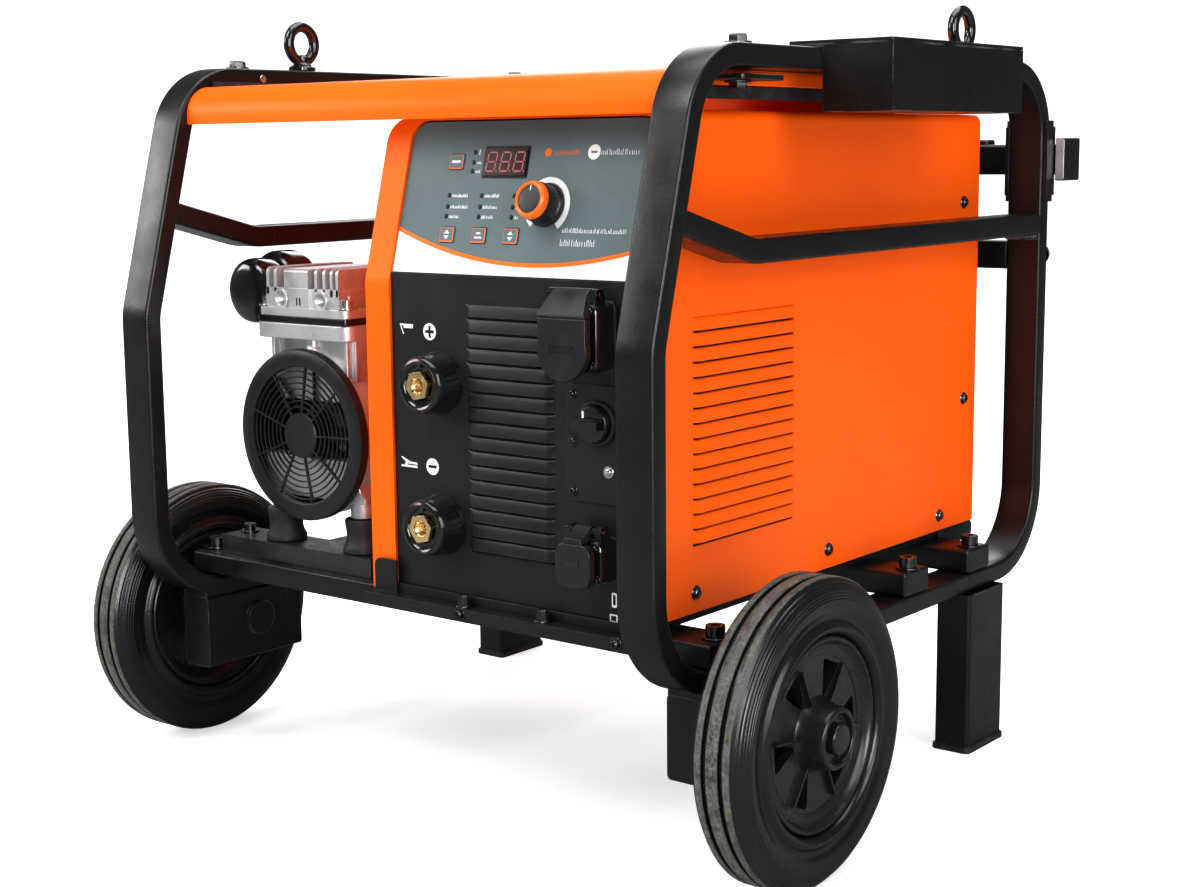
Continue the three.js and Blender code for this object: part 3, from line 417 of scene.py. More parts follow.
def tyre_rubber(name):
    """Black rubber; the tread band, by distance from the wheel's axis, is dusty grey."""
    n = Nodes(name)
    place = n.add("ShaderNodeSeparateXYZ", {0: n.coords}).outputs
    dy = n.math("SUBTRACT", place["Y"], CAGE_FRONT + AXLE_Y * MM)
    dz = n.math("SUBTRACT", place["Z"], AXLE_Z * MM)
    radius = n.math("SQRT", n.plus(n.times(dy, dy), n.times(dz, dz)))
    tread = n.ramp(radius, 0.1234, 0.1246)
    mottled = n.times(tread, n.ramp(n.noise(85, 6, 0.7), 0.28, 0.62, 0.35, 1.0))
    speckled = n.times(mottled, n.ramp(n.noise(420, 4, 0.7), 0.36, 0.60, 0.25, 1.0))
    grit = n.times(n.ramp(n.noise(190, 5, 0.75), 0.62, 0.72), 0.4)
    dust = n.math("MAXIMUM", speckled, n.times(grit, 0.35))
    n.set(color=n.mix(dust, (0.0100, 0.0100, 0.0106), (0.150, 0.146, 0.126)),
          rough=n.ramp(dust, 0.0, 0.8, 0.24, 0.85))
    n.bump(n.plus(n.noise(800, 3), n.times(n.noise(160, 5), 0.8)), 0.22, 0.0004)
    return n.material


def rubber(name):
    n = Nodes(name)
    bloom = n.ramp(n.noise(60, 5, 0.7), 0.45, 0.8)
    n.set(color=n.mix(bloom, (0.016, 0.016, 0.017), (0.05, 0.05, 0.05)), rough=0.62)
    n.bump(n.noise(900, 3), 0.25, 0.0003)
    return n.material


def film(name, color, rough):
    """Printed plastic film."""
    n = Nodes(name)
    tint = n.mix(n.ramp(n.noise(14, 3), 0.3, 0.7), scaled(color, 0.94), scaled(color, 1.06))
    n.set(color=tint, rough=n.ramp(n.noise(60, 4), 0.3, 0.8, rough - 0.05, rough + 0.08), spec=0.22)
    n.bump(n.noise(1600, 2), 0.08, 0.0001)
    return n.material


def glowing(name, color, strength):
    n = Nodes(name)
    flicker = n.ramp(n.noise(300, 2), 0.2, 0.8, 0.75 * strength, strength)
    n.set(color=scaled(color, 0.22), glow=color, glow_strength=flicker, rough=0.3)
    return n.material


def board(name):
    """Green circuit board with paler tracks."""
    n = Nodes(name)
    tracks = n.ramp(n.noise(160, 1, stretch=(1, 8, 1)), 0.50, 0.54)
    n.set(color=n.mix(tracks, (0.01, 0.085, 0.03), (0.03, 0.17, 0.06)), rough=0.45)
    n.bump(tracks, 0.2, 0.0002)
    return n.material


def windings(name):
    """Copper wire wound in bands."""
    n = Nodes(name)
    wave = n.add("ShaderNodeTexWave", {"Scale": 160, "Vector": n.coords}, bands_direction="Z").outputs["Fac"]
    n.set(color=n.mix(wave, (0.22, 0.07, 0.02), (0.62, 0.26, 0.10)), metal=0.7, rough=0.4)
    n.bump(wave, 0.5, 0.0008)
    return n.material


BLACK = powder_coat("black_powder_coat", (0.0100, 0.0101, 0.0105), (0.42, 0.41, 0.40), 0.31, 0.40, 0.55)
CHARCOAL = powder_coat("charcoal_powder_coat", (0.0120, 0.0121, 0.0128), (0.20, 0.20, 0.20), 0.42, 0.35, 0.25)
ORANGE = orange_paint("orange_powder_coat")
ALLOY = cast_alloy("cast_alloy")
ZINC = metal("zinc_plate", (0.72, 0.72, 0.70), 0.26, 0.12, 900, 0.55)
STEEL_SCREW = metal("screw_steel", (0.20, 0.20, 0.205), 0.28, 0.15, 900, 0.4)
DARK_ZINC = metal("black_zinc", (0.11, 0.11, 0.115), 0.32, 0.15, 900, 0.5)
BRASS = metal("machined_brass", (1.0, 0.76, 0.42), 0.24, 0.10, 1200, 0.78)
# Painted sheen: the tray's black paint is about twice as light as the other black parts, standing in for the
# bright reflection along its top.
TRAY_PAINT_AND_SHEEN = moulded("tray_paint_and_sheen", (0.0230, 0.0236, 0.0250), 0.22, 0.04, scuff=0.2)
PLASTIC = moulded("black_plastic", (0.0150, 0.0150, 0.0157), 0.34)
GLOSS_PLASTIC = moulded("gloss_black_plastic", (0.0095, 0.0095, 0.0100), 0.16, 0.03, coat=0.5, scuff=0.1)
HUB_PLASTIC = moulded("hub_plastic", (0.0150, 0.0150, 0.0155), 0.24, 0.06)
GREY_PLASTIC = moulded("grey_knob_face", (0.020, 0.021, 0.023), 0.42, 0.3, scuff=0.7)
ORANGE_PLASTIC = moulded("orange_plastic", (0.93, 0.17, 0.012), 0.30, 0.05, coat=0.3, scuff=0.05)
SHADOW = moulded("deep_shadow", (0.0018, 0.0018, 0.0018), 0.75, scuff=0.05)
TYRE = tyre_rubber("tyre_rubber")
RUBBER = rubber("moulded_rubber")
GREY_FILM = film("grey_film", (0.112, 0.150, 0.156), 0.5)
WHITE_FILM = film("white_film", (0.80, 0.80, 0.80), 0.42)
ORANGE_FILM = film("orange_film", (0.80, 0.150, 0.004), 0.45)
DARK_FILM = film("dark_film", (0.008, 0.008, 0.009), 0.3)
WINDOW = film("display_filter", (0.026, 0.003, 0.004), 0.18)
DIGITS = glowing("display_digits", (1.0, 0.24, 0.22), 0.20)
BOARD = board("circuit_board")
COILS = windings("copper_windings")


# ---------------------------------------------------------------- pieces

def piece(name, shape, material, body="frame", bevel=0.0, segments=2, sharp=32,
          replaces=()):
    """New object that rides on a CAD body; its edges above the sharp angle can be bevelled."""
    mesh = bpy.data.meshes.new(name)
    points = [Vector((p.x * MM, p.y * MM + CAGE_FRONT, p.z * MM)) for p in shape[0]]
    mesh.from_pydata(points, [], shape[1])
    bm = bmesh.new()
    bm.from_mesh(mesh)
    bmesh.ops.remove_doubles(bm, verts=bm.verts, dist=1e-6)
    for face in bm.faces:
        face.smooth = True
    for edge in bm.edges:
        if len(edge.link_faces) != 2 or edge.calc_face_angle() > math.radians(sharp):
            edge.smooth = False
    bm.to_mesh(mesh)
    bm.free()
    obj = bpy.data.objects.new(name, mesh)
    bpy.context.scene.collection.objects.link(obj)
    mesh.materials.append(material)
    if bevel:
        add_bevel(obj, bevel, segments, sharp)
    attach(obj, body)
    if replaces:
        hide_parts(*replaces)


def add_bevel(obj, width, segments, angle=32):
    bevel = obj.modifiers.new("edge", "BEVEL")
    bevel.width = width * MM
    bevel.segments = segments
    bevel.limit_method = "ANGLE"
    bevel.angle_limit = math.radians(angle)
    obj.modifiers.new("normals", "WEIGHTED_NORMAL").weight = 100


def dress(node, material, bevel, segments=2):
    """Finish for a CAD node: welded and bevelled by modifiers, with its own material."""
    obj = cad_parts[node]
    obj.data.materials.clear()
    obj.data.materials.append(material)
    obj.data.shade_smooth()
    obj.modifiers.new("weld", "WELD").merge_threshold = 1e-5
    add_bevel(obj, bevel, segments)


# ---------------------------------------------------------------- fasteners
# Each stands on z = 0 and points up.

def washer_disc(r, height):
    """Flat washer with eased edges."""
    return lathe("z", [(0, 0), (r - 0.3, 0), (r, 0.4), (r, 1.5), (r - 0.3, height), (0, height)], steps=32)


def cap_screw(r=8.0, height=9.0):
    """Washer and socket head of a cap screw."""
    base = 2.0
    wall = extrude("z", circle(0, 0, r, 32), base, base + height, [circle(0, 0, r * 0.52, 6)])
    floor = extrude("z", circle(0, 0, r * 0.9, 24), base, base + height * 0.45)
    return washer_disc(r + 3.5, 1.9), join(wall, floor)


def hex_screw(r, height):
    """Hexagon head with a chamfered top, on a washer."""
    base = 2.0
    head = lathe("z", [(0, base), (r, base), (r, base + height - 1.6), (r * 0.88, base + height),
                       (0, base + height)], steps=6)
    return join(washer_disc(r + 2.8, base), head)


def pan_screw(r, height):
    """Cross-recessed pan head on a washer."""
    base, sides = 0.8, 28
    arm, half = r * 0.62, r * 0.13
    cross = []
    for k in range(4):
        a = math.pi / 2 * k
        for u, v in ((half, half), (arm, half), (arm, -half)):
            cross.append(Vector((u * math.cos(a) - v * math.sin(a), u * math.sin(a) + v * math.cos(a))))
    cross.sort(key=lambda p: math.atan2(p.y, p.x))
    top = base + height
    washer = lathe("z", [(0, 0), (r + 1.6, 0), (r + 1.8, 0.3), (r + 1.5, base), (0, base)], steps=sides)
    skirt = lathe("z", [(r, base), (r, base + height * 0.35), (r * 0.93, base + height * 0.72),
                        (r * 0.78, top - 0.12), (r * 0.7, top)], steps=sides)
    crown = extrude("z", circle(0, 0, r * 0.7, sides), top - 1.4, top, [cross])
    floor = lathe("z", [(0, top - 1.3), (r * 0.68, top - 1.3)], steps=12)
    return join(washer, skirt, crown, floor)


# ---------------------------------------------------------------- cage

def tube_section(width, depth):
    return rectangle(-width / 2, width / 2, -depth / 2, depth / 2, TUBE_CORNER, 5)


def post_y(z):
    """Y of the leaning front post's outer face at a height."""
    return (z - KINK_Z) * math.tan(LEAN)


def hoop_shape():
    """Bent ring of flat tube with a leaning front, and the mid rail across it."""
    half = TUBE_DEPTH / 2
    low, high, back = CAGE_BOTTOM + half, CAGE_TOP - half, CAGE_LENGTH - half
    centre = fillet([(half, low, 79), (back, low, 79), (back, high, 63),
                     (post_y(high) + half / math.cos(LEAN), high, 63), (half, KINK_Z, 60)], 28)
    rail = fillet([(post_y(525) + half, 527), (139, 499, 60), (back, 502)], 10)
    ring = sweep([Vector((0, p.x, p.y)) for p in centre], tube_section(TUBE_WIDTH, TUBE_DEPTH))
    bar = sweep([Vector((0, p.x, p.y)) for p in rail], tube_section(TUBE_WIDTH - 1, 20), closed=False)
    return ring, bar


def build_cage():
    ring, bar = hoop_shape()
    post = post_y(525) + TUBE_DEPTH
    for side, name in SIDES:
        x = side * HOOP_X
        piece(f"{name}_hoop_tube", shift(ring, x), BLACK, replaces=(f"{name}_hoop",))
        piece(f"{name}_mid_rail", shift(bar, x), BLACK)
        dress(f"{name}_axle_bracket", BLACK, 2.0, 3)
        dress(f"{name}_rear_leg", BLACK, 1.5, 3)
        dress(f"{name}_foot_pad", RUBBER, 1.0)
        piece(f"{name}_bracket_saddle", bracket_saddle(side * 291), BLACK, bevel=0.5)
        welds = [weld_line(x, (post - 0.6, 515.5), (post + 5.5, 523.0)),
                 weld_line(x, (CAGE_LENGTH - 23.5, 491.5), (CAGE_LENGTH - 18.5, 488.0))]
        piece(f"{name}_rail_welds", join(*welds), BLACK)
    build_eyes()
    build_canopy()
    dress("rear_cross_rail", BLACK, 1.5, 3)
    for name in CHANNEL_Y:
        dress(f"{name}_cross_channel", BLACK, 1.6, 3)
    build_pull_bar()
    build_cage_fasteners()


def bracket_saddle(x):
    """Weld filler between an axle bracket and the hoop's lower bend."""
    radius, front, steps = 88.0, 61.5, 8
    curve = []
    for k in range(steps + 1):
        y = front + (radius - front) * k / steps
        curve.append(Vector((y, CAGE_BOTTOM + radius - math.sqrt(radius ** 2 - (radius - y) ** 2) + 0.4)))
    outline = [*poly((front, 153), (110, 153), (110, 156.3)), *reversed(curve)]
    return extrude("x", outline, x - 17.5, x + 15)


def weld_line(x, start, end):
    """Fillet of weld across a tube between two (y, z) points, as overlapping ripples."""
    a, b = Vector(start), Vector(end)
    centre, slope = (a + b) / 2, b - a
    width, count, y = 33.0, 16, centre.x - 0.12 * slope.x
    ripple = lathe("x", [(0, -1.9), (2.6, -1.5), (3.6, 0), (2.6, 1.5), (0, 1.9)], steps=12)
    return join(*[shift(ripple, x - width / 2 + width * (k + 0.5) / count, y, centre.y)
                  for k in range(count)])


def build_pull_bar():
    """Square tube behind the posts, with saddles wrapped round them and welded end blocks."""
    z, front, back, half_length = 565.0, CAGE_LENGTH + 5.3, CAGE_LENGTH + 35.3, 316
    tube = extrude("x", rectangle(front, back - 0.2, z - 15, z + 15, 3), -half_length, half_length)
    piece("pull_bar_tube", tube, BLACK, bevel=0.6, replaces=("rear_pull_bar",))
    saddles, blocks, worn = [], [], []
    inner, outer, wall, lip = HOOP_X - 18.3, HOOP_X + 18.3, 4.3, 646
    wrap = fillet([(inner, lip, 0), (inner, 662.2, 0), (outer, 662.2, 0), (outer, lip, 0),
                   (outer + wall, lip, 0), (outer + wall, 667.6, 6), (inner - wall, 667.6, 6),
                   (inner - wall, lip, 0)], 5)
    for side, _ in SIDES:
        section = [Vector((side * p.x, p.y)) for p in wrap]
        saddles.append(extrude("z", section, 530, 597))
        inset = []
        for p in section:
            off = p.x - side * HOOP_X
            draw_in = math.copysign(1.3, off) if abs(off) > 19 else 0
            inset.append(Vector((p.x - draw_in, p.y - (1.6 if p.y > 663 else 0))))
        saddles += [extrude("z", inset, low, high) for low, high in ((524, 530.5), (596.5, 603))]
        blocks.append(extrude("x", rectangle(661.6, back, z - 20.8, z + 20.8, 2),
                              *sorted((side * 311.5, side * 321.3))))
        worn.append(extrude("y", rectangle(*sorted((side * 311.9, side * 320.8)), z - 19.6, z + 19.6, 1.5),
                            661.2, 662.4))
    piece("pull_bar_saddles", join(*saddles), BLACK, bevel=0.8)
    piece("pull_bar_end_blocks", join(*blocks), BLACK, bevel=0.8)
    piece("pull_bar_end_faces", join(*worn), ALLOY, bevel=0.4)
    boss = lathe("z", [(0, 0), (9, 0), (9, 3.5), (7.5, 5), (0, 5)], (226, 682, z + 15), 28)
    piece("pull_bar_boss", boss, BLACK, bevel=0.3)


def build_eyes():
    top, ring_radius, steps = CAGE_TOP + 0.3, 16.8, 48
    for (side, name), y in zip(SIDES, (221.0, 505.0)):
        x, ring = side * HOOP_X, []
        for i in range(steps):
            a = 2 * math.pi * i / steps
            ring.append(Vector((x, y + ring_radius * math.sin(a), top + 26.2 + ring_radius * math.cos(a))))
        eye = wire(ring, 5.2, 16, closed=True)
        collar = lathe("z", [(0, 0), (12.5, 0), (13.2, 0.8), (13.2, 3.4), (12.2, 4.4), (9.5, 5.6), (7.6, 7.6),
                             (6.6, 10.5), (6.8, 13.5), (5, 15.5), (0, 16)], (x, y, top), 40)
        piece(f"{name}_eye_ring", join(eye, collar), GLOSS_PLASTIC,
              replaces=(f"{name}_eye_bolt",))


def build_canopy():
    """Folded sheet roof with rounded front and rear edges, bolted under the hoops by ears."""
    top = CAGE_TOP - TUBE_DEPTH - 0.5
    front, back, roll, sheet = 57.0, 604.0, 27.0, 2.0
    half = HOOP_INSIDE - 0.5
    outline = fillet([(front, 605.5), (front, top, roll), (back, top, roll), (back, 612),
                      (back - sheet, 612), (back - sheet, top - sheet, roll - sheet),
                      (front + sheet, top - sheet, roll - sheet), (front + sheet, 605.5)], 12)
    lips, ears, nuts, dark_strips = [], [], [], []
    for side, _ in SIDES:
        lips.append(box(*sorted((side * half, side * (half - sheet))), front + roll, back - roll,
                        top - 12, top - 0.5))
        for y, bolt_y in zip((152.0, 530.0), BOLT_Y):
            x0, x1 = sorted((side * (half - 3), side * (HOOP_X + 15)))
            ears.append(extrude("z", rectangle(x0, x1, y - 30, y + 30, 4), top - 9, top - 4.5))
            nuts.append(shift(turn(hex_screw(8, 6), "X", 180), side * HOOP_X, bolt_y, top - 9))
        # Dark rubber strips along both side edges of the canopy.
        dark_strips.append(box(*sorted((side * 262, side * 266.5)), 92, 575, 617.5, 627.5))
        dark_strips.append(box(*sorted((side * 264, side * 269.4)), 88, 572, top - 0.2, top + 5))
    piece("canopy_skin", join(extrude("x", outline, -half, half), *lips), ORANGE, bevel=0.5,
          replaces=("top_canopy",))
    piece("canopy_ears", join(*ears), BLACK, bevel=0.8)
    piece("canopy_nuts", join(*nuts), DARK_ZINC, bevel=0.3)
    piece("canopy_dark_strips", join(*dark_strips), RUBBER, bevel=0.5)


def build_cage_fasteners():
    washer, head = cap_screw()
    spots = [(side * 296, y, CHANNEL_TOP) for y in CHANNEL_Y.values() for side, _ in SIDES]
    piece("channel_washers", join(*[shift(washer, *spot) for spot in spots]), DARK_ZINC, bevel=0.2)
    piece("channel_cap_screws", join(*[shift(head, *spot) for spot in spots]), DARK_ZINC, bevel=0.4)
    tops = [at(hex_screw(8, 5.6), side * HOOP_X, y, CAGE_TOP) for y in BOLT_Y for side, _ in SIDES]
    posts = [at(hex_screw(7, 6), side * (HOOP_X + 10), CAGE_LENGTH, 472, (0, 1, 0)) for side, _ in SIDES]
    piece("hoop_hex_bolts", join(*tops, *posts), DARK_ZINC, bevel=0.4)
    plug = lathe("z", [(0, 0), (4, 0), (3.6, 0.8), (0, 1)], steps=24)
    piece("left_hoop_plug", at(plug, -HOOP_INSIDE, 152.6, 649.1, (1, 0, 0)), ZINC)


# ---------------------------------------------------------------- wheels

def tyre_profile():
    """Section of the tyre, with fine rings moulded in its shoulders and two tread grooves."""
    side = [(79.4, 17.5), (80.8, 21.4), (83.0, 24.0), (85.6, 24.9), (88.4, 23.6), (91.4, 21.0),
            (95.0, 21.2), (100.0, 23.2), (105.0, 24.4), (110.0, 24.0), (114.8, 22.2), (119.0, 19.4),
            (122.4, 16.9), (124.4, 15.2)]
    rings_start, rings_end, ring_count = 106.0, 121.0, 6
    half = []
    for p in smooth_curve(side, 10):
        swell = 0.0
        if rings_start < p.x < rings_end:
            phase = (p.x - rings_start) / (rings_end - rings_start) * math.pi * ring_count
            swell = 0.75 * abs(math.sin(phase)) ** 0.6
        half.append((p.x + swell * 0.5, p.y + swell * 0.7))
    half += [(125.0, 14.4), (125.0, 10.3), (124.5, 9.8), (121.6, 9.3), (121.6, 5.7), (124.5, 5.2),
             (125.0, 4.7)]
    return half + [(r, -s) for r, s in reversed(half)]


def wheel_shapes():
    """Tyre, rim, web and cap of a wheel about the X axis, outer side towards +X."""
    tyre = flip(lathe("x", tyre_profile(), steps=144, closed=True))
    rim = [(79.0, -18.5), (79.0, 18.0), (78.4, 20.0), (76.6, 20.8), (75.0, 20.2), (73.8, 18.2),
           (71.6, 15.8), (69.6, 14.8), (67.6, 15.2), (66.2, 14.6), (63.0, 13.6), (63.0, -4.0),
           (70.0, -14.4), (74.5, -19.0), (77.0, -20.0)]
    pockets = []
    for k in range(6):
        a = math.pi / 3 * k + math.radians(7)
        corners = [(29.5, -0.03, 1.2), (60.0, -0.22, 2.2), (60.0, 0.20, 2.2), (31.0, 0.07, 1.2)]
        pockets.append(fillet([(r * math.cos(a + d), r * math.sin(a + d), c) for r, d, c in corners], 4))
    web = extrude("x", circle(0, 0, 65, 96), 4.0, 13.0, pockets)
    floor = extrude("x", circle(0, 0, 65, 64), -4.0, -1.0)
    ribs = [turn(box(1, 17.4, -0.9, 0.9, 24, 61), "X", 60 * k - 36.0) for k in range(6)]
    boss = [(10.3, -30), (24, -30), (27, -27), (31.0, -1), (31.0, 12.4), (28.6, 16), (27.0, 22),
            (25.6, 31.0), (24.6, 34.4), (23.0, 35.6), (21.2, 35.7), (20.2, 34.8), (19.4, 30.4),
            (18.4, 29.6), (10.3, 29.6)]
    hub = join(lathe("x", rim, steps=120, closed=True), lathe("x", boss, steps=72, closed=True))
    cap = lathe("x", [(0, 28), (12.6, 28), (12.6, 35.8), (11.8, 37.2), (10.8, 37.8), (0, 38)], steps=48)
    return tyre, flip(hub), join(web, floor, *ribs), flip(cap)


def build_wheels():
    tyre, rim, web, cap = wheel_shapes()
    for side, name in SIDES:
        def set_out(shape):
            return shift(turn(shape, "Z", 180) if side < 0 else shape, side * WHEEL_X, AXLE_Y, AXLE_Z)
        body = f"{name}_wheel"
        piece(f"{name}_tyre_body", set_out(tyre), TYRE, body, sharp=50, replaces=(f"{name}_tyre",))
        piece(f"{name}_wheel_rim", set_out(rim), HUB_PLASTIC, body, bevel=0.5, replaces=(f"{name}_hub",))
        piece(f"{name}_wheel_web", set_out(web), HUB_PLASTIC, body, bevel=0.5, segments=3)
        piece(f"{name}_wheel_cap", set_out(cap), HUB_PLASTIC, body, bevel=0.4)


# ---------------------------------------------------------------- case

def louvre(length, height, rise, end):
    """Slat lying along +Y: it bows out below its top edge and ends in a sharp lower edge."""
    levels = (0.0, 0.06, 0.16, 0.35, 0.65, 1.0)
    stations = (0.0, 0.12, 0.3, 0.55, 0.8, 1.0)
    ys = [-length / 2 + end * t for t in stations] + [length / 2 - end * t for t in reversed(stations)]
    lifts = [math.sin(t * math.pi / 2) for t in (*stations, *reversed(stations))]
    front = [Vector((rise * lift * t ** 0.3, y, height * (1 - t)))
             for y, lift in zip(ys, lifts) for t in levels]
    rows, cols, n = len(levels), len(ys) - 1, len(front)
    faces = [(a, a + 1, a + rows + 1, a + rows)
             for i in range(cols) for a in range(i * rows, (i + 1) * rows - 1)]
    faces += [tuple(reversed([n + i for i in f])) for f in faces]
    for i in range(cols):
        a = (i + 1) * rows - 1
        faces.append((a, n + a, n + a + rows, a + rows))
    return front + [p - Vector((0.8, 0, 0)) for p in front], faces


def build_case():
    for node, material, bevel, segments in (
            ("case_base_pan", CHARCOAL, 1.0, 2), ("case_cover", ORANGE, 0.7, 2),
            ("front_bezel", ORANGE, 2.0, 4), ("lower_front_panel", CHARCOAL, 0.4, 2),
            ("rear_panel", CHARCOAL, 0.4, 2)):
        dress(node, material, bevel, segments)
    height, slot_low, slot_high = 10.4, -2.4, 0.4
    side_hood = louvre(153, height, 3.8, 9)
    side_zs = [264 + 12.3 * i for i in range(15)]
    hoods = [shift(side_hood, CASE_RIGHT + 0.05, 195.5, z) for z in side_zs]
    piece("side_louvre_hoods", join(*hoods), ORANGE, sharp=40)
    front_hood = turn(louvre(94, height, 3.4, 9), "Z", -90)
    front_zs = [248 + 12.25 * i for i in range(17)]
    fronts = [shift(front_hood, 119.5, PANEL_FACE - 0.05, z) for z in front_zs]
    piece("front_louvre_hoods", join(*fronts), CHARCOAL, sharp=40)
    # Painted shade: near-black boxes fill the louvre slots, so the openings read as dark.
    slot_shade = [box(CASE_RIGHT - 0.5, CASE_RIGHT + 0.15, 123, 268, z + slot_low, z + slot_high) for z in side_zs]
    slot_shade += [box(76, 163, PANEL_FACE - 0.15, PANEL_FACE + 0.5, z + slot_low, z + slot_high)
              for z in front_zs]
    piece("louvre_slot_shade", join(*slot_shade), SHADOW)
    upstand = box(CASE_LEFT + 28.2, 256.4, 53.7, 54.9, 199.8, 208.0)
    piece("apron_upstand", upstand, CHARCOAL, bevel=0.4)
    skid = extrude("x", fillet([(548, 186), (618, 186, 9), (618, 205.6, 9), (548, 205.6)], 8), 226, 252)
    piece("case_rear_skid", skid, BLACK, bevel=0.8)
    build_case_screws()
    build_front_marks()
    build_rear()


def build_case_screws():
    spots = ((577, 525), (584, 332), (538, 221), (330, 223), (124.5, 222.6))
    cover = [at(pan_screw(4.4, 2.8), x, y, z, (direction, 0, 0))
             for x, direction in ((CASE_RIGHT, 1), (CASE_LEFT, -1)) for y, z in spots]
    piece("cover_screws", join(*cover), STEEL_SCREW)
    apron = [at(pan_screw(4.2, 3), x, 40, 195, (0, -1, 0)) for x in (74, 239)]
    tops = [at(hex_screw(4.6, 8.5), x, 47, 199.6) for x in (72, 158)]
    piece("apron_screws", join(*apron, *tops), DARK_ZINC, bevel=0.2)
    rear = [at(pan_screw(4.2, 2.6), x, CASE_BACK - 3, z, (0, 1, 0))
            for x in (-28, 243) for z in (222, 400, 590)]
    piece("rear_panel_screws", join(*rear), DARK_ZINC)


def mark(outline, holes=()):
    """Thin print on the lower panel's face, drawn in x and z."""
    return extrude("y", outline, PANEL_FACE - 0.12, PANEL_FACE + 0.4, holes)


def build_front_marks():
    """Polarity and cable pictograms, printed white on the lower panel."""
    x, arm, half = 31, 4.9, 1.3
    plus_z, minus_z = 429, 314
    plus = poly(*[(x + u, plus_z + v) for u, v in (
        (-arm, -half), (-half, -half), (-half, -arm), (half, -arm), (half, -half), (arm, -half),
        (arm, half), (half, half), (half, arm), (-half, arm), (-half, half), (-arm, half))])
    minus = centred(x, minus_z, 4.7, half)
    marks = [mark(circle(x, z, 7.2, 40), [bars]) for z, bars in ((plus_z, plus), (minus_z, minus))]
    for outline in (
            rectangle(1.0, 12.0, 430.9, 434.4), rectangle(-3.2, 1.2, 433.0, 434.4),
            poly((-3.2, 433.4), (-2.0, 433.4), (1.4, 425.8), (0.2, 425.8)),
            poly((-6.0, 319.6), (-4.4, 319.8), (5.0, 316.2), (13.3, 315.6), (13.3, 313.9), (2.0, 314.2)),
            poly((-6.0, 311.2), (13.3, 311.0), (13.3, 313.0), (2.0, 313.0), (-5.4, 312.6)),
            circle(0.4, 313.6, 1.5, 20)):
        marks.append(mark(outline))
    marks.append(mark(rectangle(222.5, 227.5, 219, 231, 1.5), [rectangle(223.6, 226.4, 221, 229.4, 1)]))
    marks.append(mark(rectangle(220.4, 228.2, 206.9, 213.5, 1), [rectangle(221.6, 227.0, 208.2, 212.2, 0.5)]))
    piece("front_pictograms", join(*marks), WHITE_FILM)


def build_rear():
    """Fan grille and cable gland of the rear panel."""
    x, y, z = 108.0, CASE_BACK - 3.0, 400.0
    bars = [wire([Vector((p.x, y + 3.6, p.y)) for p in circle(x, z, r, 72)], 0.9, 8, closed=True)
            for r in (12, 22, 32, 42, 52, 60)]
    centre = Vector((x, y + 2.2, z))
    for k in range(4):
        a = math.pi / 4 + math.pi / 2 * k
        d = Vector((math.cos(a), 0, math.sin(a)))
        bars.append(wire([centre + d * 8, centre + d * 66, centre + d * 71 - Vector((0, 1.2, 0))], 1.2, 8))
    piece("rear_fan_grille", join(*bars), ZINC)
    place = (20, y, 262)
    gland = [(0, 0), (15, 0), (15, 7), (13, 8.5), (12.5, 19), (10, 22), (7.5, 22), (7.5, 16), (0, 16)]
    piece("rear_cable_gland", lathe("y", gland, place, 40), PLASTIC, bevel=0.3)
    nut = [(0, 0), (13, 0), (13, 7), (12, 8), (0, 8)]
    piece("rear_gland_nut", lathe("y", nut, place, 6), PLASTIC, bevel=0.5)


# ---------------------------------------------------------------- control panel
# The slope has its own frame: u across, v up the slope from the kink, w outwards.

SLOPE = Matrix.Translation((0, CASE_FRONT, PANEL_KINK_Z)) @ Matrix.Rotation(math.pi / 2 - LEAN, 4, "X")
FILM_W = -2.35
PRINT_W = -2.38


def on_slope(shape):
    return [SLOPE @ p for p in shape[0]], shape[1]


def decal(outline, low=-2.5, high=FILM_W, holes=()):
    """Thin print on the slope; it starts a little below low, inside the film."""
    return on_slope(extrude("z", outline, low - 0.3, high, holes))


def arc_v(u):
    """Height of the orange arc line above the kink."""
    return 18.6 + 29.0 * ((u - 136.0) / 152.0) ** 2


def build_control_panel():
    dress("control_panel", GREY_FILM, 0.3)
    left, right, bottom, steps, half_line = -12.5, 248.0, 9.2, 48, 1.8
    us = [left + (right - left) * i / steps for i in range(steps + 1)]
    band = poly((left, bottom), (right, bottom), *[(u, arc_v(u) - 1.6) for u in reversed(us)])
    piece("panel_white_band", decal(band), WHITE_FILM)
    line = poly(*[(u, arc_v(u) - half_line) for u in us], *[(u, arc_v(u) + half_line) for u in reversed(us)])
    piece("panel_orange_arc", decal(line, high=-2.3), ORANGE_FILM)
    build_display()
    build_keys()
    build_knob()
    build_panel_print()


def digit_bar(u0, v0, u1, v1, half=0.55, slant=0.10):
    """One bar of a seven-segment digit, with pointed ends."""
    a, b = Vector((u0, v0)), Vector((u1, v1))
    d = (b - a).normalized()
    n = Vector((-d.y, d.x)) * half
    outline = [a, a + d * half + n, b - d * half + n, b, b - d * half - n, a + d * half - n]
    return [Vector((p.x + p.y * slant, p.y)) for p in outline]


